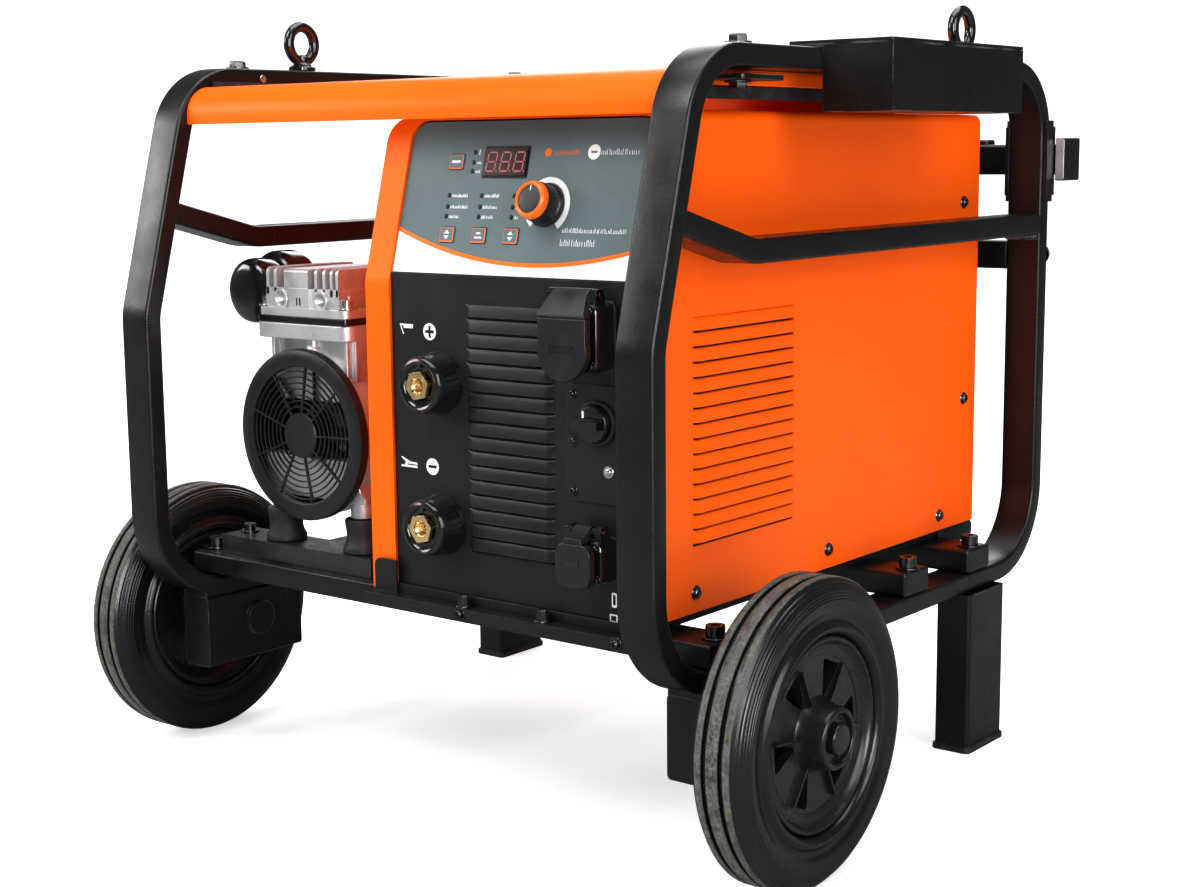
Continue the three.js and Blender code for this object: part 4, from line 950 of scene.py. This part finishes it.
def build_display():
    dress("display_window", WINDOW, 0.2)
    mid_u, mid_v = 96.2, 103.6
    w, h, gap, trim = 4.7, 7.9, 0.5, 0.7
    bars = [(trim - w, v, w - trim, v) for v in (h, 0, -h)]
    bars += [(s * w, gap, s * w, h - gap) for s in (-1, 1)]
    bars += [(s * w, gap - h, s * w, -gap) for s in (-1, 1)]
    digits = []
    for offset in (-14.6, 0.2, 15.0):
        for bar in bars:
            outline = [Vector((p.x + offset + mid_u, p.y + mid_v)) for p in digit_bar(*bar)]
            digits.append(decal(outline, -1.4, -0.9))
        digits.append(decal(circle(offset + mid_u + 6.2, mid_v - h, 0.7, 14), -1.4, -0.9))
    piece("display_digit_bars", join(*digits), DIGITS)
    surround = decal(centred(mid_u, mid_v, 24.6, 13.6, 1.5), high=-2.25,
                     holes=[centred(mid_u, mid_v, 22.7, 12.0, 1)])
    piece("display_surround", surround, DARK_FILM)


def build_keys():
    """The four keys, each with a printed frame and an icon on its top."""
    keys = {"reset_button": (42.0, 104.0), "left_set_button": (43.6, 42.0),
            "middle_set_button": (78.8, 42.0), "right_set_button": (113.5, 42.0)}
    top = -1.3
    for name, (u, v) in keys.items():
        dress(name, GREY_FILM, 0.4, 2)
        outer = rectangle(u - 7.25, u + 7.75, v - 6.2, v + 5.8, 0.6)
        inner = rectangle(u - 6.9, u + 6.9, v - 5.3, v + 5.4, 0.3)
        piece(f"{name}_frame", decal(outer, top, top + 0.1, [inner]), ORANGE_FILM, name)
        if name == "reset_button":
            icons = [centred(u, v, 5, 1.0, 0.8)]
        elif name == "middle_set_button":
            icons = [rectangle(u - 2.4, u + 2.4, v + 0.9, v + 2.4, 0.6),
                     rectangle(u - 4.0, u + 4.0, v - 2.7, v - 1.2, 0.6)]
        else:
            icons = [poly((u - 2.8, v + 0.9), (u + 2.8, v + 0.9), (u, v + 4.0)),
                     poly((u - 2.8, v - 0.9), (u, v - 4.0), (u + 2.8, v - 0.9))]
        icons = join(*[decal(icon, top, top + 0.12) for icon in icons])
        piece(f"{name}_icon", icons, WHITE_FILM, name)


def build_knob():
    """Fluted black skirt, orange ring, grey face and white pointer, over a tapering scale."""
    u, v = 146.0, 68.0
    points, faces = lathe("z", [(0, -2.2), (17.9, -2.2), (17.9, 0.4), (17.3, 1.4), (16.6, 2.2), (16.1, 12.8),
                                (15.7, 14.2), (0, 14.2)], steps=120)
    flutes, depth = 30, 0.022
    fluted = []
    for p in points:
        if 15.9 < math.hypot(p.x, p.y) < 16.9 and p.z > 2.0:
            scale = 1 - depth * (0.5 + 0.5 * math.cos(math.atan2(p.y, p.x) * flutes))
            p = Vector((p.x * scale, p.y * scale, p.z))
        fluted.append(p)
    ring = lathe("z", [(11.4, 14.1), (15.4, 14.1), (15.4, 17.2), (14.9, 19.3), (13.9, 20.7), (12.8, 21.2),
                       (11.9, 20.8), (11.4, 19.8)], steps=96, closed=True)
    face = lathe("z", [(0, 20.3), (6, 20.2), (10.4, 19.9), (11.5, 19.6), (11.5, 14.1), (0, 14.1)], steps=72)
    pointer = extrude("z", rectangle(-0.5, 0.5, 7.0, 10.8, 0.3), 19.7, 20.2)
    for name, shape, material, replaces in (
            ("body", (fluted, faces), PLASTIC, ("current_knob",)), ("ring", ring, ORANGE_PLASTIC, ()),
            ("face", flip(face), GREY_PLASTIC, ()), ("pointer", pointer, WHITE_FILM, ())):
        piece(f"knob_{name}", on_slope(shift(shape, u, v)), material, "current_knob",
              replaces=replaces)
    steps, inner = 64, 18.7
    dial = [(math.radians(-52 + 284 * k / steps), 24.2 - 2.0 * k / steps) for k in range(steps + 1)]
    outline = [Vector((u + r * math.cos(a), v + r * math.sin(a))) for a, r in dial]
    outline += [Vector((u + inner * math.cos(a), v + inner * math.sin(a))) for a, _ in reversed(dial)]
    piece("knob_scale", decal(outline), WHITE_FILM)


def greek(u, v, length, height, seed, gap=0.62):
    """A row of thin ticks that reads as a printed label without being lettering."""
    rng = random.Random(seed)
    ticks, x, low, stroke = [], u, v - height / 2, 0.5
    while x < u + length:
        top = low + height * rng.choice((0.7, 0.7, 1.0))
        lean = rng.choice((-0.3, 0.0, 0.3))
        outline = poly((x, low), (x + stroke, low), (x + stroke + lean, top), (x + lean, top))
        ticks.append(decal(outline, high=PRINT_W))
        if rng.random() < 0.55:
            ticks.append(decal(rectangle(x, x + 1.1, low, low + 0.45), high=PRINT_W))
        x += stroke + gap * rng.choice((1.0, 1.0, 1.6))
    return ticks


def build_panel_print():
    """Small lights with their labels, the plain badge and label rows, and a painted highlight: a thin white
    strip along the panel's right edge.
    """
    lights, labels_and_highlight = [], []
    lens = [(0, -2.2), (1.8, -2.2), (2.1, -2.3), (2.1, -2.8), (0, -2.8)]
    for v in (112, 103.5, 96):
        lights.append(on_slope(lathe("z", lens, (60.5, v, 0), 20)))
    for seed, v in ((11, 103.5), (12, 96)):
        labels_and_highlight += greek(64.4, v, 4.6, 2.6, seed)
    labels_and_highlight.append(decal(rectangle(65.4, 66.2, 109.5, 114.5, 0.3), high=PRINT_W))
    columns = ((39, 17, (1.0, 1.1, 0.55)), (75, 15, (1.0, 0.95, 0.8)), (110.5, 5, (1.0, 0.95, 0.8)))
    for c, (u, length, shares) in enumerate(columns):
        for r, v in enumerate((75.5, 66, 57.7)):
            lights.append(on_slope(lathe("z", lens, (u, v, 0), 20)))
            labels_and_highlight += greek(u + 3.4, v, length * shares[r], 2.9, 20 + 3 * c + r)
    piece("panel_lights", flip(join(*lights)), DARK_FILM)
    labels_and_highlight += greek(166, 48, 64, 3.8, 41, gap=1.0)
    labels_and_highlight += greek(166, 38.0, 34, 5.2, 42, gap=1.3)
    labels_and_highlight += greek(194, 111.5, 37, 4.6, 43, gap=1.3)
    labels_and_highlight.append(decal(circle(186.5, 111.5, 6.2, 40), high=PRINT_W,
                        holes=[rectangle(183.2, 189.8, 110.6, 112.4, 0.8)]))
    badge = [*greek(146, 111.5, 28, 4.4, 44, gap=1.3), decal(circle(139.5, 111.5, 3.6, 32), high=PRINT_W)]
    piece("panel_badge", join(*badge), ORANGE_FILM)
    # Painted highlight: a thin white strip along the panel's right edge stands in for the light caught on
    # that edge.
    labels_and_highlight.append(decal(rectangle(247.5, 248.2, 9.5, 130.0), high=-2.3))
    piece("panel_print_and_edge_highlight", join(*labels_and_highlight), WHITE_FILM)


# ---------------------------------------------------------------- sockets and outlets

FACE = PANEL_FACE - 0.3


def build_sockets():
    """Ribbed black collar, brass hexagon and threaded bore of each output socket."""
    for pole in ("plus", "minus"):
        x, _, z = middle(f"{pole}_socket")
        front = FACE - 25
        collar = [(12.9, FACE - 1), (12.9, front + 3.4), (16.2, front + 3.2), (17.1, front + 1.7),
                  (18.6, front + 0.5), (20.3, front), (22.1, front + 0.6), (23.4, front + 2.2),
                  (24.0, front + 4.6), (24.6, front + 9.0), (25.2, FACE - 6), (26.4, FACE - 3.5),
                  (26.8, FACE)]
        piece(f"{pole}_socket_collar", lathe("y", collar, (x, 0, z), 96), GLOSS_PLASTIC,
              replaces=(f"{pole}_socket",))
        hexagon = circle(x, z, 12.9, 6, math.radians(12))
        insert = extrude("y", hexagon, front - 1.6, front + 14, [circle(x, z, 7.2, 40)])
        piece(f"{pole}_socket_hex", insert, BRASS, bevel=0.9, segments=3,
              replaces=(f"{pole}_socket_insert",))
        thread = [p for k in range(6) for p in ((7.15, front + 2 * k), (6.5, front + 1 + 2 * k))]
        sleeve = [(7.15, front - 0.8), *thread, (6.4, front + 13.5), (0, front + 13.5)]
        piece(f"{pole}_socket_bore", flip(lathe("y", sleeve, (x, 0, z), 40)), BRASS)
        lug = extrude("y", rectangle(x - 1.8, x + 1.8, z + 14.2, z + 18.0, 0.8), front + 0.4, front + 6)
        piece(f"{pole}_socket_key", lug, GLOSS_PLASTIC, bevel=0.5)


def disc_and_strap(half, drop, radius, top):
    """Lid outline: a round disc whose shoulders blend into a strap of half width above."""
    reach = math.sqrt(radius ** 2 - half ** 2) if half < radius else 0.0
    rise, steps = math.atan2(reach, half), 48
    out = [Vector((-half, top))]
    for k in range(steps + 1):
        a = math.pi - rise + (math.pi + 2 * rise) * k / steps
        out.append(Vector((radius * math.cos(a), -drop + radius * math.sin(a))))
    return [*out, Vector((half, top))]


# Heights of an outlet cap are counted from its hinge: foot and fold bound the lid plate, pad
# is its raised pad, and narrow and wide are half widths of the arm at hinge and plate.
OUTLETS = {
    "upper": {"z": 435.0, "foot": -66.5, "fold": -17.0, "narrow": 18.0, "wide": 24.0, "pad": -41.0},
    "lower": {"z": 258.0, "foot": -43.0, "fold": -7.5, "narrow": 8.0, "wide": 9.5, "pad": -24.0},
}


def lid_arm(x, size, back, hinge_y, hinge_z):
    """Arm from the hinge down to the lid plate; it widens on its way down."""
    fold_z, steps, knuckle = hinge_z + size["fold"], 8, 5.3
    side = poly((back - 7.6, fold_z), (back, fold_z), (hinge_y - 4.4, hinge_z - 4.2))
    for k in range(steps + 1):
        a = -math.pi * 0.6 + math.pi * 1.1 * k / steps
        side.append(Vector((hinge_y + knuckle * math.cos(a), hinge_z + knuckle * math.sin(a))))
    side += poly((hinge_y - 3.5, hinge_z + 5.0), (hinge_y - 9.0, hinge_z + 0.5), (back - 7.4, fold_z + 4.0))
    points, faces = extrude("x", side, -1, 1)
    widened = []
    for p in points:
        t = min(1.0, max(0.0, (hinge_z - p.z) / -size["fold"]))
        half = size["narrow"] + (size["wide"] - size["narrow"]) * t
        widened.append(Vector((x + p.x * half, p.y, p.z)))
    return widened, faces


def build_outlets():
    for level, size in OUTLETS.items():
        body, cap = f"{level}_outlet_body", f"{level}_outlet_cap"
        (left, front, bottom), (right, _, _) = span(body)
        x, z, half_w = (left + right) / 2, size["z"], (right - left) / 2
        half_h = z - bottom
        hinge_y, hinge_z = front + 8.0, z + half_h + 6.2
        back = hinge_y - 11.0
        dress(body, GLOSS_PLASTIC, 1.6, 3)
        flange = extrude("y", centred(x, z, half_w + 1, half_h + 1, 6), FACE - 4, FACE - 0.05)
        piece(f"{level}_outlet_flange", flange, PLASTIC, bevel=1.0, segments=3)
        screws = [at(pan_screw(2.8, 1.6), screw_x, front + 0.05, screw_z, (0, -1, 0))
                  for screw_x in (x - half_w + 5.5, x + half_w - 5.5)
                  for screw_z in (z - half_h + 5.5, z + half_h - 5.5)]
        piece(f"{level}_outlet_screws", join(*screws), DARK_ZINC)
        if level == "upper":
            radius = 24.5
            outline = disc_and_strap(size["wide"], -size["foot"] - radius, radius, size["fold"])
            seal = lathe("y", [(0, back - 0.2), (21.5, back - 0.2), (21.5, front + 0.2), (0, front + 0.2)],
                         (x, 0, hinge_z + size["foot"] + radius), 64)
        else:
            outline = rectangle(-17.6, 17.6, size["foot"], size["fold"], 10, 10)
            seal = extrude("y", rectangle(x - 14, x + 14, hinge_z + size["foot"] + 7, hinge_z - 9, 6),
                           back - 0.2, front + 0.2)
        piece(f"{level}_outlet_seal", seal, RUBBER)
        lid = extrude("y", [Vector((p.x + x, p.y + hinge_z)) for p in outline], back - 7.6, back)
        piece(f"{level}_lid_plate", lid, PLASTIC, cap, bevel=1.4, segments=4, replaces=(cap,))
        pad = extrude("y", centred(x, hinge_z + size["pad"], half_w - 14.5, 3.2, 0.8), back - 8.1, back - 7.4)
        piece(f"{level}_lid_pad", pad, GLOSS_PLASTIC, cap, bevel=0.25)
        arm = lid_arm(x, size, back, hinge_y, hinge_z)
        piece(f"{level}_lid_arm", arm, PLASTIC, cap, bevel=0.7, segments=3)
        half = half_w - 3
        barrel = [(0, -half), (3.6, -half), (4.0, 0.4 - half), (4.0, half - 0.4), (3.6, half), (0, half)]
        piece(f"{level}_hinge_barrel", flip(lathe("x", barrel, (x, hinge_y, hinge_z), 28)), GLOSS_PLASTIC)
        pin = [(0, 0), (2.6, 0), (2.9, 0.4), (2.9, 1.6), (0, 2.0)]
        head = flip(lathe("x", pin, (x + half, hinge_y, hinge_z), 20))
        piece(f"{level}_hinge_pin_head", head, DARK_ZINC)


def build_switch():
    dress("rotary_switch", GLOSS_PLASTIC, 1.2, 3)
    x, _, z = middle("rotary_switch")
    face = PANEL_FACE - 2
    ring = lathe("y", [(15.6, face - 0.1), (18.5, face - 0.1), (18.5, face - 2.4), (17.6, face - 3.2),
                       (15.6, face - 3.2)], (x, 0, z), 64, closed=True)
    piece("switch_ring", flip(ring), PLASTIC, bevel=0.2)
    pointer = extrude("y", rectangle(x - 0.9, x + 0.9, z + 6.5, z + 12, 0.4), face - 18.45, face - 18.1)
    piece("switch_pointer", pointer, WHITE_FILM, "rotary_switch")
    dark = [at(pan_screw(2.6, 1.6), 186, face, screw_z, (0, -1, 0)) for screw_z in (350, 388, 310)]
    piece("switch_plate_screws", join(*dark), DARK_ZINC)
    earth = at(pan_screw(3.2, 2.0), 222, face, 328, (0, -1, 0))
    piece("switch_plate_earth_screw", earth, ZINC)


# ---------------------------------------------------------------- compressor
# X of the pump and its head is counted from the centre line of the compressor.

def build_compressor():
    dress("compressor_tray", TRAY_PAINT_AND_SHEEN, 2.2, 4)
    x, z = PUMP_X, PUMP_Z
    barrel = [(0, 312), (38, 312), (52, 311), (62, 306), (68, 298), (70, 290), (70, 262), (71.5, 260),
              (71.5, 252), (70, 250), (70, 124), (72, 118), (76.6, 114), (76.6, 88.6), (75.6, 88.3),
              (72.2, 88.3), (72, 112), (30, 112), (24, 110), (0, 110)]
    barrel = flip(lathe("y", barrel, (x, 0, z), 96))
    fin, count = box(69, 73.5, 135, 245, -1.4, 1.4), 22
    angles = [360 / count * k for k in range(count)]
    fins = [shift(turn(fin, "Y", -a), x, 0, z) for a in angles if not 62 < a < 118]
    piece("motor_barrel", join(barrel, *fins), ALLOY, bevel=0.5, replaces=("compressor_body",))
    # Painted shade: a near-black sleeve and disc inside the fan shroud darken the space behind the guard.
    shroud_shade = lathe("y", [(71.6, 89.5), (71.6, 111.6), (0, 111.6)], (x, 0, z), 72)
    piece("fan_shroud_shade", shroud_shade, SHADOW)
    block = extrude("y", fillet([(-51, 380), (-51, 411), (57, 411), (57, 372), (50, 352), (-44, 352)], 4),
                    97, 184)
    flange = extrude("z", rectangle(-62, 60, 83, 191, 12, 8), 410, 424.7)
    ribs = [extrude("y", rectangle(u - 2, u + 2, 372, 411), 90, 99) for u in (-45, 51)]
    web = lathe("z", [(0, 0), (9, 0), (8, 6), (6.5, 8), (6.5, 16), (0, 16)], (4, 96, 395), 32)
    half = [(70, 262), (70, 267), (64, 273, 5), (59, 286, 8), (60, 300)]
    foot = fillet(half + [(-c[0], *c[1:]) for c in reversed(half)], 5)
    feet = [extrude("y", foot, y - 15, y + 15) for y in (106.0, 292.0)]
    piece("pump_castings", shift(join(block, flange, *ribs, web, *feet), x), ALLOY, bevel=1.6, segments=3)
    build_head()
    build_guard()
    # Painted shade: the fan gets the near-black shadow material, so it reads dark behind the guard.
    dress("compressor_fan", SHADOW, 0.5)
    build_filters()
    build_mounts()


def build_head():
    """Gasket plate, finned cylinder head with two threaded ports, and its bolts."""
    gasket = extrude("z", rectangle(-59, 59, 83, 191, 6, 6), 424.8, 430.7)
    piece("head_gasket_plate", shift(gasket, PUMP_X), GLOSS_PLASTIC, bevel=0.5, replaces=("valve_plate",))
    ports, port_z = (-27.0, 25.0), 446
    bores = [circle(u, port_z, 7.0, 36) for u in ports]
    flange = extrude("z", rectangle(-58, 58, 84, 190, 9, 8), 431, 438.5)
    front = extrude("y", rectangle(-47.5, 47.5, 438, 456.5, 2), 87, 99, bores)
    core = extrude("z", rectangle(-47.5, 47.5, 98.9, 188, 4, 4), 432, 456)
    blades = ((-47, -43.6), (-37, -33.6), (17, 20.2), (27.5, 30.7), (37, 40.2), (44.2, 47.2))
    blade = fillet([(87, 450), (188, 450), (188, 475, 5), (87, 475, 5)], 5)
    fins = [extrude("x", blade, low, high) for low, high in blades]
    pad = extrude("x", fillet([(86, 450), (188, 450), (188, 474, 3), (86, 474, 3)], 4), -22, 9)
    step = extrude("z", rectangle(-15, 12, 84.5, 92, 1), 437, 456.5)
    bosses = [flip(lathe("y", [(7.0, 84.4), (8.9, 84.4), (9.6, 85.2), (9.8, 92), (7.0, 92)],
                         (u, 0, port_z), 40, closed=True)) for u in ports]
    casting = join(flange, front, core, *fins, pad, step, *bosses)
    piece("head_casting", shift(casting, PUMP_X), ALLOY, bevel=0.8, segments=3, replaces=("cylinder_head",))
    thread = [p for k in range(6) for p in ((6.2, 86.4 + 2 * k), (6.95, 87.4 + 2 * k))]
    bore = [(6.95, 85.4), *thread, (3.2, 98.6), (3.2, 103), (0, 103)]
    holes = [lathe("y", bore, (u, 0, port_z), 32) for u in ports]
    piece("head_port_bores", shift(join(*holes), PUMP_X), ALLOY)
    # Painted shade: two thin near-black boxes on the step's face stand in for dark slots.
    slot_shade = [box(u, u + 1.4, 84.2, 85, 441, 448) for u in (-5, -1)]
    piece("head_step_slot_shade", shift(join(*slot_shade), PUMP_X), SHADOW)
    bolt = join(*cap_screw(5.2, 7))
    bolts = [shift(bolt, PUMP_X + u, y, 438.5) for u in (-52, 52) for y in (93, 137, 181)]
    piece("head_cap_screws", join(*bolts), ZINC, bevel=0.3)


def build_guard():
    """Fan guard: flat rim, round hub, and a grille of thin rings and bars."""
    centre = (PUMP_X, 0, PUMP_Z)
    rim = flip(lathe("y", [(79.5, 88), (79.5, 81), (78.9, 79.3), (77.4, 78.4), (65, 78.2), (63.6, 78.8),
                           (63.2, 80.2), (63.2, 83), (70, 84.5), (75, 88)], centre, 120, closed=True))
    hub = flip(lathe("y", [(0, 84), (20.6, 84), (21, 83), (21, 79.6), (20.2, 78.5), (0, 78.2)], centre))
    grille, half = [], 0.6
    for r in (26.5, 32, 37.5, 43, 48.5, 54, 59.5):
        ring = [(r - half, 80.9), (r + half, 80.9), (r + half, 79.0), (r - half, 79.0)]
        grille.append(flip(lathe("y", ring, centre, 96, closed=True)))
    bar = extrude("y", rectangle(-0.8, 0.8, 19, 66), 78.7, 81.4)
    grille += [shift(turn(bar, "Y", 40 * k + 8), *centre) for k in range(9)]
    piece("guard_rim", rim, PLASTIC, replaces=("fan_guard",))
    piece("guard_hub", hub, PLASTIC)
    piece("guard_grille", join(*grille), PLASTIC, bevel=0.15)


def build_filters():
    """Two intake filters: round cans with rolled edges, on stubs from the head."""
    stub_x, stub_z = -243.5, 454
    for name, centre, size, depth in (("front", (stub_x, 98.0, 450.0), 1.0, 30.0),
                                      ("rear", (-246.5, 131.0, 454.0), 1.05, 36.0)):
        drum = [(0, 0.2), (14, 0.3), (21, 0.9), (26, 2.4), (29.2, 5.4), (30.6, 9.6), (30.8, 14),
                (30.8, depth - 8), (29.8, depth - 3), (26, depth), (0, depth)]
        can = flip(lathe("y", [(r * size, s) for r, s in drum], centre, 72))
        stub = flip(lathe("x", [(9, 18), (9, 39.5), (0, 39.5)], (stub_x, centre[1] + 17, stub_z), 32))
        piece(f"{name}_filter_can", join(can, stub), GLOSS_PLASTIC, bevel=0.3,
              replaces=(f"{name}_air_filter",))


def build_mounts():
    """Waisted rubber mounts with alloy spacers, and the tray's own bolts."""
    profile = [(0, 0), (18.4, 0), (19.3, 0.8), (19.3, 4), (18.6, 6), (17.0, 9), (16.0, 13), (15.8, 17),
               (16.4, 22), (17.2, 27), (17.2, 30), (16.4, 31.2), (0, 31.2)]
    spacer = [(0, 0), (10.8, 0), (11.5, 0.7), (11.5, 15.0), (0, 15.0)]
    spacers = []
    for node in [f"{row}_{name}" for row in ("front", "rear") for _, name in SIDES]:
        x, y, _ = middle(f"{node}_rubber_mount")
        piece(f"{node}_mount_rubber", lathe("z", profile, (x, y, TRAY_TOP + 0.3), 56), RUBBER,
              replaces=(f"{node}_rubber_mount",))
        spacers.append(lathe("z", spacer, (x, y, 247.0), 40))
    bolt = join(*cap_screw(5.5, 6))
    bolts = [shift(bolt, x, y, TRAY_TOP) for x, y in ((-262, 108), (-262, 405), (-86, 405))]
    piece("mount_spacers", join(*spacers), ALLOY, bevel=0.3)
    piece("tray_screws", join(*bolts), DARK_ZINC, bevel=0.3)


def build_rest():
    """Accessory box, and the parts inside the case."""
    for node, material, bevel, segments in (
            ("accessory_box", BLACK, 0.8, 2), ("accessory_box_lid", BLACK, 1.0, 3),
            ("heat_sink", ALLOY, 0.4, 2), ("power_board", BOARD, 0.3, 2), ("main_transformer", COILS, 1.0, 2),
            ("case_fan_frame", PLASTIC, 0.8, 2), ("case_fan_rotor", PLASTIC, 0.4, 2)):
        dress(node, material, bevel, segments)


# ---------------------------------------------------------------- stage
# From here on lengths are metres.

def build_stage():
    """Pale sheet that curves up behind the object; reflections see it darker than it is."""
    half_width, front, back, bend, top, steps = 9.0, -5.0, 3.0, 2.2, 9.0, 24
    profile = [(front, 0.0), (back, 0.0)]
    for k in range(1, steps + 1):
        a = math.pi / 2 * k / steps
        profile.append((back + bend * math.sin(a), bend - bend * math.cos(a)))
    profile.append((back + bend, top))
    points = [(x, y, z) for y, z in profile for x in (-half_width, half_width)]
    faces = [(2 * i, 2 * i + 1, 2 * i + 3, 2 * i + 2) for i in range(len(profile) - 1)]
    mesh = bpy.data.meshes.new("backdrop")
    mesh.from_pydata(points, [], faces)
    mesh.shade_smooth()
    backdrop = bpy.data.objects.new("backdrop", mesh)
    bpy.context.scene.collection.objects.link(backdrop)
    backdrop.rotation_euler = (0, 0, math.radians(38.4))
    n = Nodes("backdrop_paper")
    rays = n.add("ShaderNodeLightPath").outputs
    paper = n.mix(n.noise(2.0, 3), (0.86, 0.86, 0.865), (0.90, 0.90, 0.90))
    n.set(color=n.mix(rays["Is Glossy Ray"], paper, (0.24, 0.24, 0.24)), rough=0.9, spec=0.2,
          glow=(1, 1, 1), glow_strength=n.times(rays["Is Camera Ray"], 0.45))
    n.bump(n.noise(500, 2), 0.05, 0.0002)
    mesh.materials.append(n.material)


def softbox(name, position, width, height, power):
    """Rectangular light that faces the middle of the object."""
    target = Vector((0, 0, 0.35))
    light = bpy.data.lights.new(name, "AREA")
    light.shape = "RECTANGLE"
    light.size, light.size_y = width, height
    light.energy = power
    obj = bpy.data.objects.new(name, light)
    bpy.context.scene.collection.objects.link(obj)
    obj.location = position
    obj.rotation_euler = (target - Vector(position)).to_track_quat("-Z", "Y").to_euler()
    return obj


def build_lights():
    softbox("key_light", (-0.9, -2.4, 3.0), 1.5, 1.5, 62)
    softbox("left_light", (-2.7, -1.9, 1.5), 1.6, 0.9, 32)
    softbox("right_light", (3.0, -0.9, 1.5), 1.5, 2.2, 45)
    softbox("top_light", (0.1, 0.2, 3.0), 2.6, 2.6, 70)
    softbox("rear_light", (-1.8, 2.6, 2.2), 2.0, 1.6, 40)
    strip = softbox("front_strip", (1.9, -2.0, 0.95), 0.5, 1.5, 40)
    strip.visible_diffuse = False
    spared = bpy.data.collections.new("spared_by_front_strip")
    spared.objects.link(bpy.data.objects["canopy_skin"])
    spared.collection_objects[0].light_linking.link_state = "EXCLUDE"
    strip.light_linking.receiver_collection = spared


def build_world():
    """White world: dim to reflections, half bright to the object, full to the camera."""
    world = bpy.data.worlds.new("studio")
    bpy.context.scene.world = world
    world.use_nodes = True
    tree = world.node_tree
    background = tree.nodes["Background"].inputs
    background["Color"].default_value = (1, 1, 1, 1)
    rays = tree.nodes.new("ShaderNodeLightPath").outputs
    fill = tree.nodes.new("ShaderNodeMapRange")
    fill.inputs["To Min"].default_value = 0.45
    fill.inputs["To Max"].default_value = 0.10
    strength = tree.nodes.new("ShaderNodeMath")
    strength.operation = "MAXIMUM"
    for source, socket in ((rays["Is Glossy Ray"], fill.inputs["Value"]),
                           (fill.outputs["Result"], strength.inputs[0]),
                           (rays["Is Camera Ray"], strength.inputs[1]),
                           (strength.outputs["Value"], background["Strength"])):
        tree.links.new(source, socket)


def build_camera():
    yaw, pitch, roll = math.radians(38.39), math.radians(8.82), math.radians(-0.57)
    place = Vector((1.1185, -1.44725, 0.5779))
    ahead = Vector((-math.sin(yaw) * math.cos(pitch), math.cos(yaw) * math.cos(pitch), -math.sin(pitch)))
    level = Vector((math.cos(yaw), math.sin(yaw), 0))
    right = level * math.cos(roll) + level.cross(ahead) * math.sin(roll)
    up = right.cross(ahead)
    data = bpy.data.cameras.new("camera")
    data.sensor_width = 36.0
    data.lens = 57.44
    camera = bpy.data.objects.new("camera", data)
    bpy.context.scene.collection.objects.link(camera)
    rotation = Matrix((right, up, -ahead)).transposed()
    camera.matrix_world = Matrix.Translation(place) @ rotation.to_4x4()
    bpy.context.scene.camera = camera


for build in (build_cage, build_wheels, build_case, build_control_panel, build_sockets, build_outlets,
              build_switch, build_compressor, build_rest, build_stage, build_lights, build_world,
              build_camera):
    build()
bpy.context.scene.view_settings.view_transform = "Standard"
bpy.context.scene.view_settings.look = "Medium High Contrast"

bpy.context.view_layer.update()
